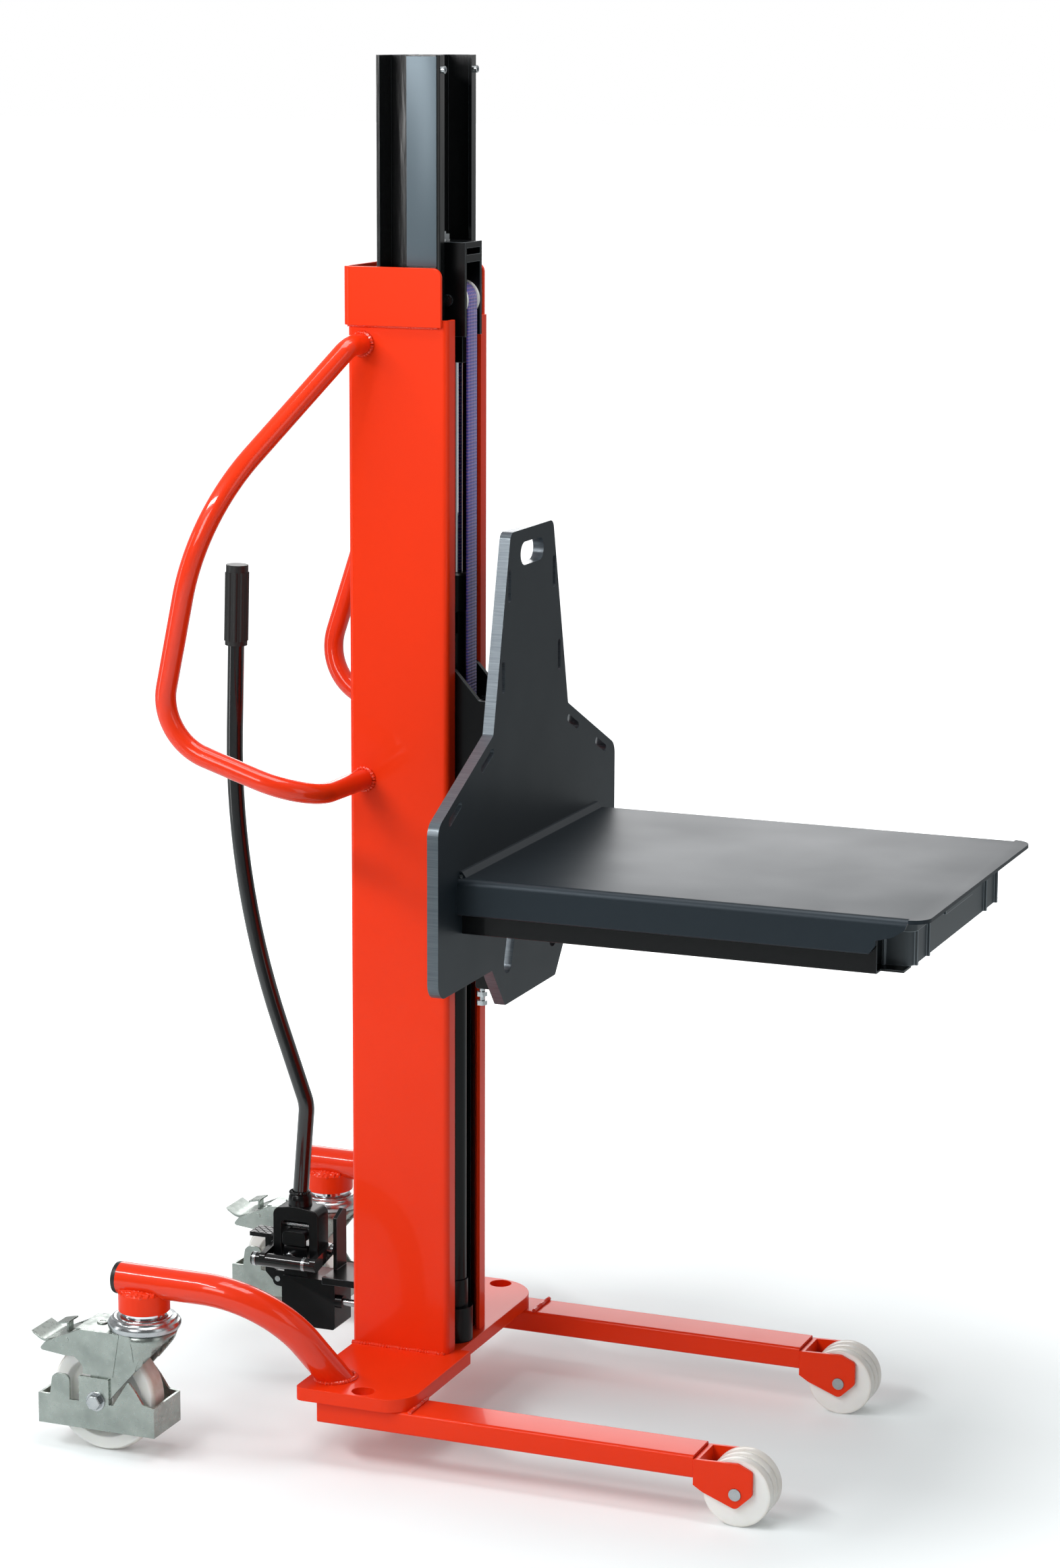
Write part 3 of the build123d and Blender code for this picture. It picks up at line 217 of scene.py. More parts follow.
def coated(name, colours, roughness, ripple, height, coat, reflecting=0.5):
    # Powder coat: two close tones in soft patches about 110 mm across, with orange peel
    made, tree, shader = plain_surface(name, colours[0], 0.0, 0.5)
    shader.inputs["Specular IOR Level"].default_value = reflecting
    shader.inputs["Coat Weight"].default_value = coat
    shader.inputs["Coat Roughness"].default_value = 0.07
    place, waves = orange_peel(tree, shader, ripple, height)
    patches = add_node(
        tree, "ShaderNodeTexNoise", {"Scale": 9.0, "Detail": 2.0}, {"Vector": place.outputs["Object"]},
    )
    tone = add_node(
        tree, "ShaderNodeMix", {"data_type": "RGBA", 6: linear(colours[0]), 7: linear(colours[1])},
        {0: patches.outputs["Fac"]},
    )
    sheen = add_node(
        tree, "ShaderNodeMapRange", {"To Min": roughness[0], "To Max": roughness[1]},
        {"Value": patches.outputs["Fac"]},
    )
    tree.links.new(tone.outputs[2], shader.inputs["Base Color"])
    tree.links.new(sheen.outputs[0], shader.inputs["Roughness"])
    return made


def seat(name, mesh, body, material, stands_for=()):
    # Turns a finished mesh into a smooth-shaded piece on its body; a piece that blends
    # between two bodies gets none
    data = bpy.data.meshes.new(name)
    mesh.to_mesh(data)
    mesh.free()
    data.materials.append(material)
    data.shade_smooth()
    data.set_sharp_from_angle(angle=math.radians(32))
    piece = bpy.data.objects.new(name, data)
    scene.collection.objects.link(piece)
    if body:
        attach(piece, body)
    if stands_for:
        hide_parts(*stands_for)
    return piece


def deburred(node, material, edge, segments=2):
    # A node's own shape with its sharp edges broken, as after grinding and painting
    solid = frame["nodes"][node]
    mesh = bmesh.new()
    mesh.from_mesh(solid.data)
    bmesh.ops.remove_doubles(mesh, verts=mesh.verts, dist=0.00002)
    bmesh.ops.dissolve_limit(
        mesh, angle_limit=math.radians(0.5), verts=mesh.verts, edges=mesh.edges,
    )
    bare = bpy.data.meshes.new(node + "_bare")
    mesh.to_mesh(bare)
    mesh.free()
    while bare.attributes.get("custom_normal"):
        bare.attributes.remove(bare.attributes["custom_normal"])
    clean = bmesh.new()
    clean.from_mesh(bare)
    bpy.data.meshes.remove(bare)
    piece = seat(node + "_finished", clean, solid["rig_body"], material, [node])
    broken = piece.modifiers.new("broken_edges", "BEVEL")
    broken.width = edge
    broken.segments = segments
    broken.limit_method = "ANGLE"
    broken.angle_limit = math.radians(40)
    broken.harden_normals = True
    return piece


# Red powder coat: two close orange-reds in soft patches, with a thin gloss over them
red_coat = coated(
    "red_powder_coat", ("#ec360f", "#e7340e"), (0.3, 0.36), 2.2 * MM, 0.04 * MM, 0.14, 0.12,
)
for node, edge in (
    ("base_plate", 1.2 * MM),
    ("leg_left", 0.6 * MM),
    ("leg_right", 0.6 * MM),
    ("fork_left", 0.8 * MM),
    ("fork_right", 0.8 * MM),
    ("outer_mast", 0.8 * MM),
    ("mast_collar", 0.8 * MM),
):
    deburred(node, red_coat, edge)

# Push handles: steel tube bent cold, out of the mast's sides, back and down, and in
# again; both ends are let into the mast's wall and welded.
SHIFT = -103


def at(x, y, z):
    # A place measured in millimetres from the foot of the mast's front face
    return Vector(((x + SHIFT) * MM, y * MM, z * MM))


def bent_line(corners, steps=12):
    # Straight runs between corners (place, bend radius), joined by arcs
    line = [corners[0][0]]
    for (before, _), (corner, bend), (after, _) in zip(corners, corners[1:], corners[2:]):
        if not bend:
            line.append(corner)
            continue
        inward = (before - corner).normalized()
        onward = (after - corner).normalized()
        half = inward.angle(onward) / 2
        centre = corner + (inward + onward).normalized() * bend / math.sin(half)
        start = (corner + inward * bend / math.tan(half) - centre).normalized()
        end = (corner + onward * bend / math.tan(half) - centre).normalized()
        line += [centre + bend * start.slerp(end, i / steps).normalized() for i in range(steps + 1)]
    line.append(corners[-1][0])
    return line


def sweep(mesh, line, section, swell=None, first=None):
    # Carries a closed section of (aside, upward) pairs along a line of points
    aside = first
    rings = []
    for i, place in enumerate(line):
        along = (line[min(i + 1, len(line) - 1)] - line[max(i - 1, 0)]).normalized()
        aside = aside or along.orthogonal()
        aside = (aside - along * aside.dot(along)).normalized()
        upward = along.cross(aside)
        size = swell[i] if swell else 1
        rings.append([mesh.verts.new(place + size * (a * aside + b * upward)) for a, b in section])
    for near, far in zip(rings, rings[1:]):
        for j in range(len(section)):
            k = (j + 1) % len(section)
            mesh.faces.new((near[j], near[k], far[k], far[j]))
    mesh.faces.new(rings[0])
    mesh.faces.new(rings[-1])


def circle(radius, sides):
    # Section of a round bar or tube
    turns = [2 * math.pi * j / sides for j in range(sides)]
    return [(radius * math.cos(turn), radius * math.sin(turn)) for turn in turns]


def finish(name, mesh, node, material, stands_for=(), edge=0.0, segments=2):
    # Closes a piece, breaks its sharp edges and lets it ride with the node's body
    bmesh.ops.remove_doubles(mesh, verts=mesh.verts, dist=0.000005)
    bmesh.ops.recalc_face_normals(mesh, faces=mesh.faces)
    piece = seat(name, mesh, frame["nodes"][node]["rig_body"], material, stands_for)
    if edge:
        broken = piece.modifiers.new("broken_edges", "BEVEL")
        broken.width = edge
        broken.segments = segments
        broken.limit_method = "ANGLE"
        broken.angle_limit = math.radians(40)
        broken.harden_normals = True
    return piece


MAST_SIDE = 68
TUBE_SINK = 2
HANDLE_X = -119
HANDLE_TOP = 1450
HANDLE_FOOT = 882
HANDLE_RADIUS = 13.5
# Powder on tube flows out glossier than on flat sheet and keeps a sharp white streak
red_gloss = coated(
    "glossy_red_powder_coat", ("#e8340e", "#e2320d"), (0.3, 0.36), 2.2 * MM, 0.03 * MM, 0.75, 0.12,
)
for name, side in (("left", 1), ("right", -1)):
    handle = bmesh.new()
    corners = [
        (at(HANDLE_X, side * (MAST_SIDE - TUBE_SINK), HANDLE_TOP), 0),
        (at(HANDLE_X, side * 107, HANDLE_TOP), 26 * MM),
        (at(-246, side * 290, 1245), 250 * MM),
        (at(-326.5, side * 250, 954), 74 * MM),
        (at(HANDLE_X, side * 244, HANDLE_FOOT + 4), 75 * MM),
        (at(HANDLE_X, side * (MAST_SIDE - TUBE_SINK), HANDLE_FOOT), 0),
    ]
    sweep(handle, bent_line(corners, 20), circle(HANDLE_RADIUS * MM, 40))
    finish("handle_tube_" + name, handle, "handle_" + name, red_gloss, ["handle_" + name])

# Caster arms: thick tube, welded on the base plate, bent back over the casters and
# closed by a domed rubber plug; a turned boss under each carries the caster.
UP = Vector((0, 0, 1))


def lathe(mesh, profile, centre, axis, steps=72, turn=360):
    # Turned form: (radius, height) pairs spun round an axis through the centre
    across = Vector((1, 0, 0)) if abs(axis.x) < 0.5 else Vector((0, 0, 1))
    made = [mesh.verts.new(centre + r * MM * across + h * MM * axis) for r, h in profile]
    edges = [mesh.edges.new(pair) for pair in zip(made, made[1:])]
    bmesh.ops.spin(
        mesh, geom=made + edges, cent=centre, axis=axis, angle=math.radians(turn), steps=steps,
        use_merge=turn == 360,
    )


ARM_RADIUS = 21.2
ARM_END = -371
ARM_Z = 236
CASTER_Y = 290
SWIVEL_X = -338
BOSS_RADIUS = 34
PLUG_DOME = [(ARM_RADIUS, 0), (ARM_RADIUS, 4), (20.4, 6.2), (18, 7.6), (12, 8.4), (5, 8.8)]
BOSS_PROFILE = [(0, 197), (BOSS_RADIUS, 197), (BOSS_RADIUS, 222), (BOSS_RADIUS - 1.5, 224), (0, 226)]
# Moulded rubber: deep matt black, dulled by a grain of 0.7 mm, coarser than the real one
rubber, tree, shader = plain_surface("black_rubber", "#131313", 0.0, 0.42)
place = add_node(tree, "ShaderNodeTexCoord")
grain = add_node(
    tree, "ShaderNodeTexNoise", {"Scale": 1400.0, "Detail": 2.0}, {"Vector": place.outputs["Object"]},
)
bump = add_node(
    tree, "ShaderNodeBump", {"Strength": 0.4, "Distance": 0.05 * MM}, {"Height": grain.outputs["Fac"]},
)
tree.links.new(bump.outputs["Normal"], shader.inputs["Normal"])
plugs = bmesh.new()
bosses = bmesh.new()
for name, side in (("left", 1), ("right", -1)):
    arm = bmesh.new()
    corners = [
        (at(-98, side * 201, 99), 0),
        (at(-158, side * CASTER_Y, ARM_Z), 135 * MM),
        (at(ARM_END, side * CASTER_Y, ARM_Z), 0),
    ]
    sweep(arm, bent_line(corners, 24), circle(ARM_RADIUS * MM, 48))
    finish("arm_tube_" + name, arm, "caster_arm_" + name, red_gloss, ["caster_arm_" + name])
    line = [at(ARM_END - out, side * CASTER_Y, ARM_Z) for _, out in PLUG_DOME]
    sweep(plugs, line, circle(MM, 48), [radius for radius, _ in PLUG_DOME])
    lathe(bosses, BOSS_PROFILE, at(SWIVEL_X, side * CASTER_Y, 0), UP)
finish("arm_plugs", plugs, "arm_caps", rubber, ["arm_caps"])
finish("boss_rings", bosses, "caster_bosses", red_coat, ["caster_bosses"], 0.8 * MM)

# Welds of the frame: beads laid by hand around the mast foot, the roots of the
# handles, the feet of the arms, the caster bosses and the legs, under the paint.
def weld_bead(mesh, points, size, pitch, phase=0.0):
    # A laid weld: an overlapping row of frozen ripples along a line of points
    walked = [0.0]
    for start, end in zip(points, points[1:]):
        walked.append(walked[-1] + (end - start).length)
    steps = max(8, int(walked[-1] / pitch * 5))
    line = []
    swell = []
    for i in range(steps + 1):
        s = walked[-1] * i / steps
        k = max(j for j in range(len(points) - 1) if walked[j] <= s + 1e-9)
        line.append(points[k].lerp(points[k + 1], (s - walked[k]) / (walked[k + 1] - walked[k])))
        wave = math.sin(math.pi * ((s / pitch + phase) % 1.0))
        swell.append((0.86 + 0.2 * wave) * (1 + 0.1 * math.sin(1.46 * i + phase)))
    swell[0] = swell[-1] = 0.3
    sweep(mesh, line, circle(size, 10), swell)


def ring_points(centre, first, second, count=40):
    # Points around an ellipse given by its two half axes
    return [
        centre + math.cos(2 * math.pi * i / count) * first + math.sin(2 * math.pi * i / count) * second
        for i in range(count + 1)
    ]


PLATE_TOP = 106
LEG_PLATE_TOP = 89.5
COLLAR_FOOT = 1473.5
BEAD_Y = MAST_SIDE + 1
# Three short beads side by side fill the corner between a boss and its arm
BOSS_BEADS = ((19, 27, 224.6, 0.1), (24, 21, 224, 0.5), (28, 14, 223, 0.8))
beads = bmesh.new()
for side in (-1, 1):
    mast_foot = [at(-140, side * BEAD_Y, PLATE_TOP + 0.5), at(-4, side * BEAD_Y, PLATE_TOP + 0.5)]
    weld_bead(beads, mast_foot, 3.2 * MM, 4.5 * MM)
    for z in (HANDLE_FOOT, HANDLE_TOP):
        root = at(HANDLE_X, side * BEAD_Y, z)
        around = ring_points(root, Vector((14.4 * MM, 0, 0)), Vector((0, 0, 14.4 * MM)))
        weld_bead(beads, around, 2.8 * MM, 4.2 * MM, 0.3)
    slope = Vector((57, -84 * side, 0)).normalized()
    arm_foot = ring_points(at(-101, side * 206, PLATE_TOP + 1), 27.5 * MM * slope, 22 * MM * slope.cross(UP))
    weld_bead(beads, arm_foot, 3.2 * MM, 4.6 * MM, 0.6)
    for across, reach, lift, phase in BOSS_BEADS:
        for out in (-across, across):
            row = [
                at(SWIVEL_X - reach, side * CASTER_Y + out, lift - 1.5),
                at(SWIVEL_X, side * CASTER_Y + out * 1.04, lift),
                at(SWIVEL_X + reach, side * CASTER_Y + out, lift - 1.5),
            ]
            weld_bead(beads, row, 4.2 * MM, 6.5 * MM, phase)
    leg_root = [at(22, side * 187.5, LEG_PLATE_TOP), at(22, side * 246.5, LEG_PLATE_TOP)]
    weld_bead(beads, leg_root, 2.8 * MM, 4.4 * MM)
    collar = [at(-139, side * BEAD_Y, COLLAR_FOOT), at(-12, side * BEAD_Y, COLLAR_FOOT)]
    weld_bead(beads, collar, 1.8 * MM, 4.4 * MM, 0.5)
finish("frame_welds", beads, "outer_mast", red_gloss)

# Black steelwork: the ram's foot, barrel and gland, the pulley's fork, the carriage,
# the runners of the tray, and the cast pump body on its bracket.
BLACK_EDGE = 0.6 * MM
# Black powder coat: near black and satin, with ripples; its broken edges take a paler
# grey, a painted highlight along them
black_coat = coated(
    "black_powder_coat", ("#060708", "#0a0c0e"), (0.26, 0.36), 1.4 * MM, 0.03 * MM, 0.16, 0.14,
)
# Paler grey for the broken edges, which paints the highlight along them
painted_highlight_black = coated(
    "black_coat_painted_edge_highlight", ("#3a4246", "#2c3336"), (0.3, 0.36), 1.4 * MM, 0.03 * MM, 0.35,
)
for node in ("cylinder_barrel", "cylinder_gland"):
    deburred(node, black_coat, BLACK_EDGE)
for node in (
    "cylinder_foot", "belt_anchor", "pump_body", "pump_bracket", "pulley_block", "carriage_frame",
    "tray_runners",
):
    piece = deburred(node, black_coat, BLACK_EDGE)
    # Their broken edges take the paler grey, a painted highlight
    piece.data.materials.append(painted_highlight_black)
    piece.modifiers["broken_edges"].material = 1

# Inner profile: cold-rolled channel in blackened steel, which reflects softly, with
# the drawing marks of the rolls still running along it.
# Rolled steel: near black; marks 11 mm wide and 110 mm long bend its reflections a little
rolled, tree, shader = plain_surface("rolled_black_steel", "#0a0c0d", 0.0, 0.2)
shader.inputs["Specular IOR Level"].default_value = 0.7
place = add_node(tree, "ShaderNodeTexCoord")
drawn = add_node(
    tree, "ShaderNodeMapping", {"Scale": (90.0, 90.0, 9.0)}, {"Vector": place.outputs["Object"]},
)
waves = add_node(tree, "ShaderNodeTexNoise", {"Scale": 1.0, "Detail": 4.0}, {"Vector": drawn.outputs[0]})
bump = add_node(
    tree, "ShaderNodeBump", {"Strength": 0.6, "Distance": 0.8 * MM}, {"Height": waves.outputs["Fac"]},
)
tree.links.new(bump.outputs["Normal"], shader.inputs["Normal"])
profile = deburred("inner_mast", rolled, BLACK_EDGE)
# The profile's broken edges take the same paler grey, a painted highlight
profile.data.materials.append(painted_highlight_black)
profile.modifiers["broken_edges"].material = 1

# Sheen strips: thin pale plates on the sides of the inner profile, a painted sheen that
# stands for the soft grey reflection on them; satin and pitted, a little paler than the profile.
STRIP_SIZE = (41, 1.6, 262)
STRIP_MIDDLE = (-37.5, 63.2, 1681.5)
# Pale steel for the painted sheen: pits about 2.4 mm apart spread the light into a soft sheen
painted_sheen_steel, tree, shader = plain_surface("pale_steel_painted_sheen", "#55626a", 0.35, 0.42)
place = add_node(tree, "ShaderNodeTexCoord")
pitted = add_node(
    tree, "ShaderNodeTexNoise", {"Scale": 420.0, "Detail": 3.0}, {"Vector": place.outputs["Object"]},
)
bump = add_node(
    tree, "ShaderNodeBump", {"Strength": 0.4, "Distance": 0.1 * MM}, {"Height": pitted.outputs["Fac"]},
)
tree.links.new(bump.outputs["Normal"], shader.inputs["Normal"])
# Each strip is a pale sheet laid on the profile's side, a painted sheen
for name, side in (("sliding_strip_left", 1), ("sliding_strip_right", -1)):
    strip = bmesh.new()
    bmesh.ops.create_cube(strip, size=MM)
    bmesh.ops.scale(strip, verts=strip.verts, vec=STRIP_SIZE)
    bmesh.ops.translate(
        strip, verts=strip.verts, vec=at(STRIP_MIDDLE[0], side * STRIP_MIDDLE[1], STRIP_MIDDLE[2]),
    )
    bmesh.ops.bevel(
        strip, geom=strip.edges[:], offset=0.4 * MM, offset_type="OFFSET", segments=2, profile=0.5,
        affect="EDGES", material=-1,
    )
    finish(name, strip, "inner_mast", painted_sheen_steel)

# Pump head: forged yoke over a broad plunger cap; the lever stands in the yoke's
# socket and is welded in, and the stirrup hangs from the same pivot.
def plate(mesh, outline, y0, y1):
    # Sheet or block cut to an outline of corners (x, z, radius), lying across Y
    corners = [(at(x, y0, z), radius * MM) for x, z, radius in outline]
    line = bent_line(corners[-1:] + corners + corners[:1], 8)[1:-1]
    face = mesh.faces.new([mesh.verts.new(place) for place in line])
    grown = bmesh.ops.extrude_face_region(mesh, geom=[face])["geom"]
    moved = [v for v in grown if isinstance(v, bmesh.types.BMVert)]
    bmesh.ops.translate(mesh, verts=moved, vec=(0, (y1 - y0) * MM, 0))


def finish_node(node, material):
    # A node whose own mesh is already right only takes the finish
    solid = frame["nodes"][node]
    solid.data.materials.clear()
    solid.data.materials.append(material)


PUMP_Y = 24
LEVER_X = -259.5
YOKE_OUTLINE = [
    (-293, 186, 6), (-293, 255, 11), (-259, 260, 60), (-225, 255, 11), (-225, 186, 6),
    (-239, 186, 0), (-239, 238, 4), (-280, 238, 4), (-280, 186, 0),
]
SOCKET_PROFILE = [(0, 250), (16.4, 250), (16.4, 266), (15.6, 272), (12.5, 276), (0, 277)]
CAP_LEFT = -277
CAP_RIGHT = -242
CAP_TOP = 225.2
yoke = bmesh.new()
plate(yoke, YOKE_OUTLINE, 7, 42)
lathe(yoke, SOCKET_PROFILE, at(-259, PUMP_Y, 0), UP, 48)
finish("yoke_forging", yoke, "pump_yoke", black_coat, ["pump_yoke"], 1.4 * MM, 3)
# The cap's skirt hangs in front of the pump's tower, its back rides clear above it
plunger = bmesh.new()
for cap_foot, corner, near, far in ((205, 3, 2.4, 6.6), (213, 1, 6, 36)):
    outline = [
        (CAP_LEFT, cap_foot, corner), (CAP_LEFT, CAP_TOP, 6),
        (CAP_RIGHT, CAP_TOP, 6), (CAP_RIGHT, cap_foot, corner),
    ]
    plate(plunger, outline, near, far)
lathe(plunger, [(0, 177), (5.4, 177), (5.4, 214), (0, 214)], at(LEVER_X, 19, 0), UP, 32)
finish("plunger_cap", plunger, "pump_plunger", black_coat, ["pump_plunger"], 1.0 * MM)
lever_beads = bmesh.new()
lever_foot = ring_points(at(LEVER_X, PUMP_Y, 276.5), Vector((12.5 * MM, 0, 0)), Vector((0, 12.5 * MM, 0)))
weld_bead(lever_beads, lever_foot, 2.4 * MM, 4.0 * MM)
finish("lever_weld", lever_beads, "pump_yoke", black_coat)
# Glossy black powder coat: thick and smooth on the round bars of lever and stirrup, so
# that it shines as if wet; the lever's grip is bare rubber, pushed on
wet_black = coated(
    "glossy_black_powder_coat", ("#060708", "#0a0c0e"), (0.2, 0.3), 1.8 * MM, 0.03 * MM, 0.9, 0.3,
)
deburred("foot_stirrup", wet_black, 0.8 * MM)
finish_node("pump_lever", wet_black)
finish_node("release_pedal", black_coat)
finish_node("lever_grip", rubber)

# Bright steel: zinc-plated pins, bolts, rollers and screws, bluish and a little
# cloudy where the bath has drained off.
# Zinc plate: bright and bluish, its gloss broken by soft clouds 8 mm across
bright, tree, shader = plain_surface("zinc_plated_steel", "#c3c7c8", 1.0, 0.24)
place = add_node(tree, "ShaderNodeTexCoord")
cloud = add_node(
    tree, "ShaderNodeTexNoise", {"Scale": 120.0, "Detail": 3.0}, {"Vector": place.outputs["Object"]},
)
gloss = add_node(
    tree, "ShaderNodeMapRange", {"To Min": 0.16, "To Max": 0.34}, {"Value": cloud.outputs["Fac"]},
)
tint = add_node(
    tree, "ShaderNodeMix", {"data_type": "RGBA", 6: linear("#c9cdce"), 7: linear("#a9aeb2")},
    {0: cloud.outputs["Fac"]},
)
tree.links.new(gloss.outputs[0], shader.inputs["Roughness"])
tree.links.new(tint.outputs[2], shader.inputs["Base Color"])
for node in (
    "roller_pins", "pressure_pipe", "pump_pins", "pulley_axle", "block_bolt",
    "belt_clamp", "carriage_screws", "guide_rollers_upper", "guide_rollers_lower", "press_roller",
):
    finish_node(node, bright)

# Vent screw in the pump's tower, under the plunger cap, and the two bare steel
# bands that keep the foot off the ends of the stirrup bar.
ALONG_X = Vector((1, 0, 0))
ALONG_Y = Vector((0, 1, 0))
SCREW_PROFILE = [(0, 3), (3, 3), (3, 0.5), (5.4, 0.5), (6.7, 1.6), (6.7, 8.2), (0, 8.2), (0, 3)]
BAND_PROFILE = [(9.2, -2.6), (9.9, -2.2), (9.9, 2.2), (9.2, 2.6), (9.2, -2.6)]
STIRRUP_BAR = (-13, 186)
screw = bmesh.new()
lathe(screw, SCREW_PROFILE, at(-266, 0, 188), ALONG_Y, 40)
finish("vent_screw", screw, "pump_body", bright)
bands = bmesh.new()
for x in (-309.5, -236):
    lathe(bands, BAND_PROFILE, at(x, *STIRRUP_BAR), ALONG_X, 48)
finish("stirrup_bands", bands, "foot_stirrup", bright)

# Stop bolts: small socket-head screws in the inner profile's lips, bright zinc, that
# end the carriage's travel.
STOP_PROFILE = [(0, -5), (4.8, -5), (4.8, 4.4), (4.2, 5), (2.5, 5), (2.5, 2.4), (0, 2.4)]
stops = bmesh.new()
for side in (-1, 1):
    lathe(stops, STOP_PROFILE, at(-14, side * 53, 1796), ALONG_X, 32)
finish("stop_screws", stops, "mast_stop_bolts", bright, ["mast_stop_bolts"])

# Piston rod: ground, hard-chromed bar; a mirror, with faint grinding lines along it
# that smear the reflections a little.
# Hard chrome: a near mirror; lines 1.1 mm apart and 40 mm long, coarser than the real
# ones so that they show
chrome, tree, shader = plain_surface("hard_chrome", "#e8eaee", 1.0, 0.06)
place = add_node(tree, "ShaderNodeTexCoord")
drawn = add_node(
    tree, "ShaderNodeMapping", {"Scale": (900.0, 900.0, 25.0)}, {"Vector": place.outputs["Object"]},
)
lines = add_node(tree, "ShaderNodeTexNoise", {"Scale": 1.0, "Detail": 2.0}, {"Vector": drawn.outputs[0]})
gloss = add_node(
    tree, "ShaderNodeMapRange", {"To Min": 0.04, "To Max": 0.11}, {"Value": lines.outputs["Fac"]},
)
tree.links.new(gloss.outputs[0], shader.inputs["Roughness"])
finish_node("piston_rod", chrome)

# Casters: swivel fork with brake housing, foot guard and brake pedal pressed from zinc
# plated sheet, on a bright axle bolt; the pans and heads come off the press polished.
AXLE_X = -392
AXLE_Z = 75
PEDAL_PIVOT = (-98, 153)
LEG_INSIDE = 30
LEG_OUTSIDE = 34.4
HOUSING_OUTSIDE = 35.4
# Outlines of the fork and the pedal: x from the swivel axis, height, corner radius
LEG = [
    (26, 171, 0), (12, 148, 6), (2, 121, 10), (-40, 73, 12), (-56, 59, 12), (-70, 81, 12), (-62, 112, 0),
    (-30, 171, 0),
]
HOUSING = [
    (-20, 170, 0), (-78, 170, 8), (-130, 146, 3), (-139, 135, 3), (-100, 131, 0), (-86, 132, 6),
    (-74, 120, 10), (-74, 109.5, 0), (-30, 109.5, 0),
]
ROOF = [(-86, 170.2, 1), (-30, 170.2, 1), (-30, 167, 1), (-86, 167, 1)]
TOE = [
    (-84, 160.5, 0), (-84, 156.5, 0), (-112, 149, 10), (-134, 141.5, 22), (-151, 152.5, 0), (-154, 156.5, 0),
    (-135, 146, 18), (-113, 153.5, 10),
]
POST = [(-112, 152, 0), (-109, 152, 0), (-109, 166, 0), (-112, 166, 0)]
FLAG = [(-124, 163.5, 0), (-105, 168, 0), (-105, 170.5, 0), (-124, 166, 0)]
RIVET = [(0, 168), (7.4, 168), (7.4, 171.2), (6.6, 172), (4.6, 172), (4.2, 171.4), (0, 171.4)]
FLARE = [(44, 171), (40, 158), (36, 144), (33.6, 130), (33.4, 122)]
PAN = [
    (8.4, 170.2), (36, 170.2), (42, 171), (46.6, 174), (48.3, 178), (48.3, 181), (46.6, 184), (43.6, 185.6),
    (42.8, 186.6), (42.2, 188.6), (39.6, 189.8), (36.8, 189.4), (36.2, 190.6), (33, 191.6), (8.4, 191.6),
    (8.4, 170.2),
]
WASHER = [(0, 38), (13.5, 38), (13.5, 39.6), (13, 40), (0, 40)]
BOLT_HEAD = [(0, 40), (10.6, 40), (10.6, 46.4), (9.6, 47.4), (0, 47.4)]
# Zinc plate, passivated: pale with a faint green-grey cast, a spangle of 8 mm and
# clouds of 36 mm in it
zinc, tree, shader = plain_surface("pressed_zinc_steel", "#b9bfba", 1.0, 0.34)
place = add_node(tree, "ShaderNodeTexCoord")
grain = add_node(
    tree, "ShaderNodeTexVoronoi", {"Scale": 130.0, "feature": "F1"}, {"Vector": place.outputs["Object"]},
)
cloud = add_node(
    tree, "ShaderNodeTexNoise", {"Scale": 28.0, "Detail": 4.0}, {"Vector": place.outputs["Object"]},
)
mixed = add_node(
    tree, "ShaderNodeMath", {"operation": "MULTIPLY"},
    {0: grain.outputs["Distance"], 1: cloud.outputs["Fac"]},
)
gloss = add_node(
    tree, "ShaderNodeMapRange", {"From Max": 0.5, "To Min": 0.2, "To Max": 0.4}, {"Value": mixed.outputs[0]},
)
tint = add_node(
    tree, "ShaderNodeMix", {"data_type": "RGBA", 6: linear("#bcc3bd"), 7: linear("#7d8682")},
    {0: cloud.outputs["Fac"]},
)
tree.links.new(gloss.outputs[0], shader.inputs["Roughness"])
tree.links.new(tint.outputs[2], shader.inputs["Base Color"])
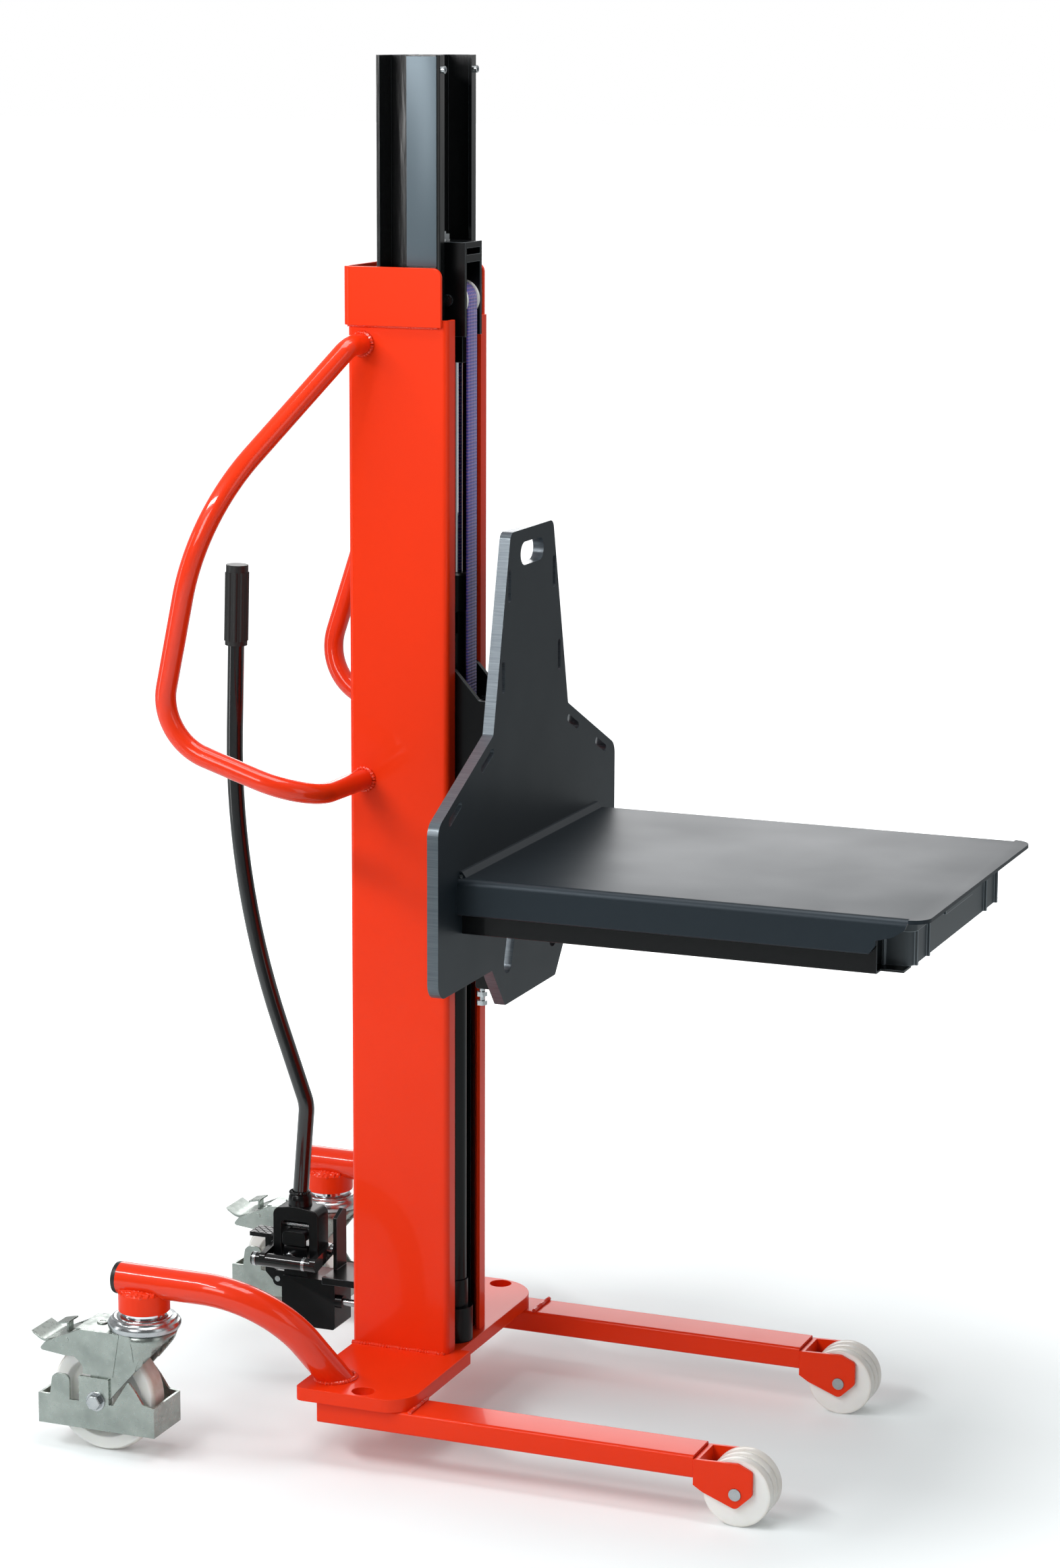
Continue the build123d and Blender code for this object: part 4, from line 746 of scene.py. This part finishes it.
for name, side in (("left", 1), ("right", -1)):
    middle = side * CASTER_Y
    swivel = at(SWIVEL_X, middle, 0)
    deburred("caster_guard_" + name, zinc, 0.5 * MM)
    # Fork: two pressed legs, the brake housing folded over them and a roof with its rivet
    fork = bmesh.new()
    for out in (-1, 1):
        for sheet, outer in ((LEG, LEG_OUTSIDE), (HOUSING, HOUSING_OUTSIDE)):
            outline = [(SWIVEL_X + x, z, r) for x, z, r in sheet]
            plate(fork, outline, middle + out * LEG_INSIDE, middle + out * outer)
    outline = [(SWIVEL_X + x, z, r) for x, z, r in ROOF]
    plate(fork, outline, middle - LEG_INSIDE - 1, middle + LEG_INSIDE + 1)
    lathe(fork, RIVET, at(SWIVEL_X - 62, middle, 0), UP, 40)
    finish(
        "caster_fork_pressing_" + name, fork, "caster_fork_" + name, zinc, ["caster_fork_" + name], 0.7 * MM,
    )
    # Flare: the legs' front wraps up into a half cone under the pan
    flare = bmesh.new()
    lathe(flare, FLARE, swivel, UP, 48, 180)
    bmesh.ops.rotate(
        flare, verts=flare.verts, cent=swivel, matrix=Matrix.Rotation(math.radians(-90), 3, "Z"),
    )
    bmesh.ops.bisect_plane(
        flare, geom=flare.verts[:] + flare.edges[:] + flare.faces[:], plane_co=at(SWIVEL_X + 46, 0, 170),
        plane_no=Vector((1.15, 0, -1)).normalized(), clear_outer=True,
    )
    piece = finish("caster_flare_" + name, flare, "caster_fork_" + name, zinc)
    wall = piece.modifiers.new("sheet_wall", "SOLIDIFY")
    wall.thickness = 3 * MM
    wall.offset = -1
    # Pan: pressed ball race, ringed and polished by the tool
    pan = bmesh.new()
    lathe(pan, PAN, swivel, UP, 96)
    finish("caster_pan_" + name, pan, "caster_fork_" + name, bright)
    # Axle bolt with its nut: hexagons on washers, both sides of the guard
    axle = bmesh.new()
    hub = at(AXLE_X, middle, AXLE_Z)
    lathe(axle, [(0, -44), (6, -44), (6, 44), (0, 44)], hub, ALONG_Y, 32)
    for out in (-1, 1):
        lathe(axle, WASHER, hub, out * ALONG_Y, 48)
        lathe(axle, BOLT_HEAD, hub, out * ALONG_Y, 6)
    finish("axle_bolt_" + name, axle, "caster_axle_" + name, bright, ["caster_axle_" + name], 0.3 * MM)
    # Brake pedal: pressed plate rocking on its pin, a toe tab curled up at the rear
    # and a small flag in front of it that frees the brake
    pedal = bmesh.new()
    for sheet, half in ((TOE, 28), (POST, 7), (FLAG, 13)):
        plate(pedal, [(SWIVEL_X + x, z, r) for x, z, r in sheet], middle - half, middle + half)
    pivot = at(SWIVEL_X + PEDAL_PIVOT[0], middle, PEDAL_PIVOT[1])
    lathe(pedal, [(0, -28), (7, -28), (7, 28), (0, 28)], pivot, ALONG_Y, 32)
    lathe(pedal, [(0, -36), (3.9, -36), (3.9, 36), (0, 36)], pivot, ALONG_Y, 24)
    finish("brake_pressing_" + name, pedal, "brake_pedal_" + name, zinc, ["brake_pedal_" + name], 0.6 * MM)
finish_node("caster_heads", chrome)

# White nylon: the wheels of the casters, the front rollers and the belt's pulley, cast
# and then turned; milky, a little see-through, the treads rubbed brownish by the floor.
ROLLER_X = 467
ROLLER_Y = 217
ROLLER_RADIUS = 45
RAM_X = -17
PULLEY_Z = 1506
WRAP_RADIUS = 22
# Each wheel's axle (x, z), the radius of its tread and the tone that is rubbed on it
WHEELS = (
    ("front_roller_left", ROLLER_X, ROLLER_RADIUS, ROLLER_RADIUS, "#dcd2c8"),
    ("caster_wheel_left", AXLE_X, AXLE_Z, AXLE_Z, "#b9a48f"),
    ("belt_pulley", RAM_X, PULLEY_Z, WRAP_RADIUS, "#e4e2de"),
)
for label, wheel_x, wheel_z, tread, rubbed_tone in WHEELS:
    nylon, tree, shader = plain_surface("white_nylon_" + label.split("_")[0], "#e4e4de", 0.0, 0.3)
    shader.inputs["Subsurface Weight"].default_value = 0.3
    shader.inputs["Subsurface Radius"].default_value = (6 * MM, 6 * MM, 5 * MM)
    shader.inputs["IOR"].default_value = 1.53
    # Turned nylon: lines 0.9 mm apart, coarser than the real ones so that they show
    place = add_node(tree, "ShaderNodeTexCoord")
    hub = add_node(
        tree, "ShaderNodeVectorMath",
        {"operation": "SUBTRACT", 1: at(wheel_x, 0, wheel_z)}, {0: place.outputs["Object"]},
    )
    flat = add_node(
        tree, "ShaderNodeVectorMath", {"operation": "MULTIPLY", 1: (1, 0, 1)}, {0: hub.outputs[0]},
    )
    radius = add_node(tree, "ShaderNodeVectorMath", {"operation": "LENGTH"}, {0: flat.outputs[0]})
    scored = add_node(
        tree, "ShaderNodeMath", {"operation": "MULTIPLY", 1: 7000.0}, {0: radius.outputs["Value"]},
    )
    score = add_node(tree, "ShaderNodeMath", {"operation": "SINE"}, {0: scored.outputs[0]})
    bump = add_node(
        tree, "ShaderNodeBump", {"Strength": 0.12, "Distance": 0.05 * MM}, {"Height": score.outputs[0]},
    )
    tree.links.new(bump.outputs["Normal"], shader.inputs["Normal"])
    worn = add_node(
        tree, "ShaderNodeMapRange",
        {"From Min": (tread - 3.5) * MM, "From Max": (tread - 0.5) * MM}, {"Value": radius.outputs["Value"]},
    )
    smear = add_node(
        tree, "ShaderNodeTexNoise", {"Scale": 60.0, "Detail": 4.0}, {"Vector": place.outputs["Object"]},
    )
    amount = add_node(
        tree, "ShaderNodeMath", {"operation": "MULTIPLY"}, {0: worn.outputs[0], 1: smear.outputs["Fac"]},
    )
    tint = add_node(
        tree, "ShaderNodeMix", {"data_type": "RGBA", 6: linear("#f6f6f2"), 7: linear(rubbed_tone)},
        {0: amount.outputs[0]},
    )
    tree.links.new(tint.outputs[2], shader.inputs["Base Color"])
    if label == "caster_wheel_left":
        finish_node("caster_wheel_left", nylon)
        finish_node("caster_wheel_right", nylon)
    if label == "front_roller_left":
        # Front rollers: three rounded rings turned side by side from one bar
        rings = [(8.2, -24.7), (42.6, -24.7), (44.4, -24), (tread, -22.6)]
        for groove in (-8.2, 8.2):
            rings += [(tread, groove - 2.4), (44.3, groove - 1.2), (42.4, groove - 0.4)]
            rings += [(42.4, groove + 0.4), (44.3, groove + 1.2), (tread, groove + 2.4)]
        rings += [(tread, 22.6), (44.4, 24), (42.6, 24.7), (8.2, 24.7), (8.2, -24.7)]
        for name, side in (("left", 1), ("right", -1)):
            roller = bmesh.new()
            lathe(roller, rings, at(wheel_x, side * ROLLER_Y, wheel_z), ALONG_Y, 96)
            finish("ringed_roller_" + name, roller, "front_roller_" + name, nylon, ["front_roller_" + name])
    if label == "belt_pulley":
        # Pulley: thick flanges, the pale crescents seen in the fork's slot
        pulley = bmesh.new()
        flange = [(20.6, 15.3), (24.4, 16.6), (25, 17.4), (25, 19.8), (24.3, 20.5), (7.1, 20.5)]
        rim = [(r, -y) for r, y in reversed(flange)] + flange
        lathe(pulley, rim + rim[:1], at(wheel_x, 0, wheel_z), ALONG_Y, 96)
        finish("flanged_pulley", pulley, "belt_pulley", nylon, ["belt_pulley"])

# Lifting belt: woven webbing, from its clamp on the carriage up over the pulley and
# down to its anchor on the mast; each run is given no body.
WRAP_TOP = PULLEY_Z + WRAP_RADIUS
STRAIGHT_TOP = 1500
STRAP_HALF = 15
# Webbing: blue-violet ribs 3 mm apart along it and a pinkish weft every 4.2 mm,
# coarser than the real weave so that they show
webbing, tree, shader = plain_surface("violet_webbing", "#5146a0", 0.0, 0.7)
shader.inputs["Sheen Weight"].default_value = 0.4
place = add_node(tree, "ShaderNodeTexCoord")
axes = add_node(tree, "ShaderNodeSeparateXYZ", None, {0: place.outputs["Object"]})
across = add_node(
    tree, "ShaderNodeMath", {"operation": "MULTIPLY", 1: 2 * math.pi / (3.0 * MM)}, {0: axes.outputs["Y"]},
)
along = add_node(
    tree, "ShaderNodeMath", {"operation": "MULTIPLY", 1: 2 * math.pi / (4.2 * MM)}, {0: axes.outputs["Z"]},
)
rib = add_node(tree, "ShaderNodeMath", {"operation": "COSINE"}, {0: across.outputs[0]})
weft = add_node(tree, "ShaderNodeMath", {"operation": "COSINE"}, {0: along.outputs[0]})
shows = add_node(
    tree, "ShaderNodeMapRange", {"From Min": 0.2, "From Max": 0.95}, {"Value": weft.outputs[0]},
)
tint = add_node(
    tree, "ShaderNodeMix", {"data_type": "RGBA", 6: linear("#40389c"), 7: linear("#8a5f9e")},
    {0: shows.outputs[0]},
)
height = add_node(tree, "ShaderNodeMath", {"operation": "ADD"}, {0: rib.outputs[0], 1: weft.outputs[0]})
bump = add_node(
    tree, "ShaderNodeBump", {"Strength": 0.7, "Distance": 0.25 * MM}, {"Height": height.outputs[0]},
)
tree.links.new(tint.outputs[2], shader.inputs["Base Color"])
tree.links.new(bump.outputs["Normal"], shader.inputs["Normal"])
strap = [
    (-STRAP_HALF * MM, -1.1 * MM), (-14.6 * MM, -1.25 * MM),
    (14.6 * MM, -1.25 * MM), (STRAP_HALF * MM, -1.1 * MM),
]
strap += [(-a, -b) for a, b in strap]
for name, x, end, held in (("front", 5, 940, "carriage"), ("rear", -39, 1080, "frame")):
    belt = bmesh.new()
    run = [(at(x, 0, end + (STRAIGHT_TOP - end) * i / 40), 0) for i in range(41)]
    corners = run + [(at(x, 0, WRAP_TOP), WRAP_RADIUS * MM), (at(RAM_X, 0, WRAP_TOP), 0)]
    sweep(belt, bent_line(corners, 24), strap, first=ALONG_Y)
    bmesh.ops.recalc_face_normals(belt, faces=belt.faces)
    piece = seat("webbing_" + name, belt, None, webbing, ["lift_belt_" + name])
    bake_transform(piece)

# Face plate and platform: thick laser-cut plate, and a deck of 5 mm sheet, folded down at
# its sides and welded on along its rear edge; both under one slate powder coat.
FACE_EDGE = 1.2 * MM
DECK_EDGE = 0.7 * MM
# Slate powder coat: dark blue-grey, rough enough to spread the light into a sheen
slate = coated(
    "slate_powder_coat", ("#161e24", "#12191e"), (0.4, 0.48), 0.9 * MM, 0.06 * MM, 0.0, 0.42,
)
slate.node_tree.nodes["Principled BSDF"].inputs["Specular Tint"].default_value = linear("#dcebf8")
# Laser-cut edge: striations 1.1 mm apart across the thickness, which catch the light
cut, tree, shader = plain_surface("laser_cut_edge", "#4b545a", 0.35, 0.3)
place = add_node(tree, "ShaderNodeTexCoord")
drawn = add_node(
    tree, "ShaderNodeMapping", {"Scale": (20.0, 900.0, 900.0)}, {"Vector": place.outputs["Object"]},
)
lines = add_node(tree, "ShaderNodeTexNoise", {"Scale": 1.0, "Detail": 2.0}, {"Vector": drawn.outputs[0]})
bump = add_node(
    tree, "ShaderNodeBump", {"Strength": 0.8, "Distance": 0.15 * MM}, {"Height": lines.outputs["Fac"]},
)
tint = add_node(
    tree, "ShaderNodeMix", {"data_type": "RGBA", 6: linear("#39424a"), 7: linear("#6d767c")},
    {0: lines.outputs["Fac"]},
)
tree.links.new(tint.outputs[2], shader.inputs["Base Color"])
tree.links.new(bump.outputs["Normal"], shader.inputs["Normal"])
upright = deburred("face_plate", slate, FACE_EDGE)
upright.data.materials.append(cut)
for face in upright.data.polygons:
    if abs(face.normal.x) < 0.5:
        face.material_index = 1
deburred("platform", slate, DECK_EDGE)
deck_beads = bmesh.new()
weld_bead(deck_beads, [at(91.5, -244, 805), at(91.5, 244, 805)], 3.0 * MM, 5.2 * MM)
# The bead takes the paler grey of the edges, a painted highlight on it
finish("deck_weld", deck_beads, "platform", painted_highlight_black)

# Tray: crate moulded in one piece of grey polypropylene; it stands on the runners under
# the platform and slides out to the front.
# Polypropylene: grey and satin from a grain of 1.1 mm, coarser than the real one; its broken
# edges are painted paler and smoother, a painted highlight along them
crate, tree, shader = plain_surface("grey_polypropylene", "#3b4348", 0.0, 0.42)
place = add_node(tree, "ShaderNodeTexCoord")
grain = add_node(
    tree, "ShaderNodeTexNoise", {"Scale": 900.0, "Detail": 2.0}, {"Vector": place.outputs["Object"]},
)
bump = add_node(
    tree, "ShaderNodeBump", {"Strength": 0.3, "Distance": 0.05 * MM}, {"Height": grain.outputs["Fac"]},
)
tree.links.new(bump.outputs["Normal"], shader.inputs["Normal"])
painted_highlight_polypropylene, tree, shader = plain_surface("polypropylene_painted_edge_highlight", "#7d868c", 0.0, 0.35)
tray = deburred("tray", crate, 0.8 * MM)
# The tray's broken edges take the paler grey, a painted highlight
tray.data.materials.append(painted_highlight_polypropylene)
tray.modifiers["broken_edges"].material = 1
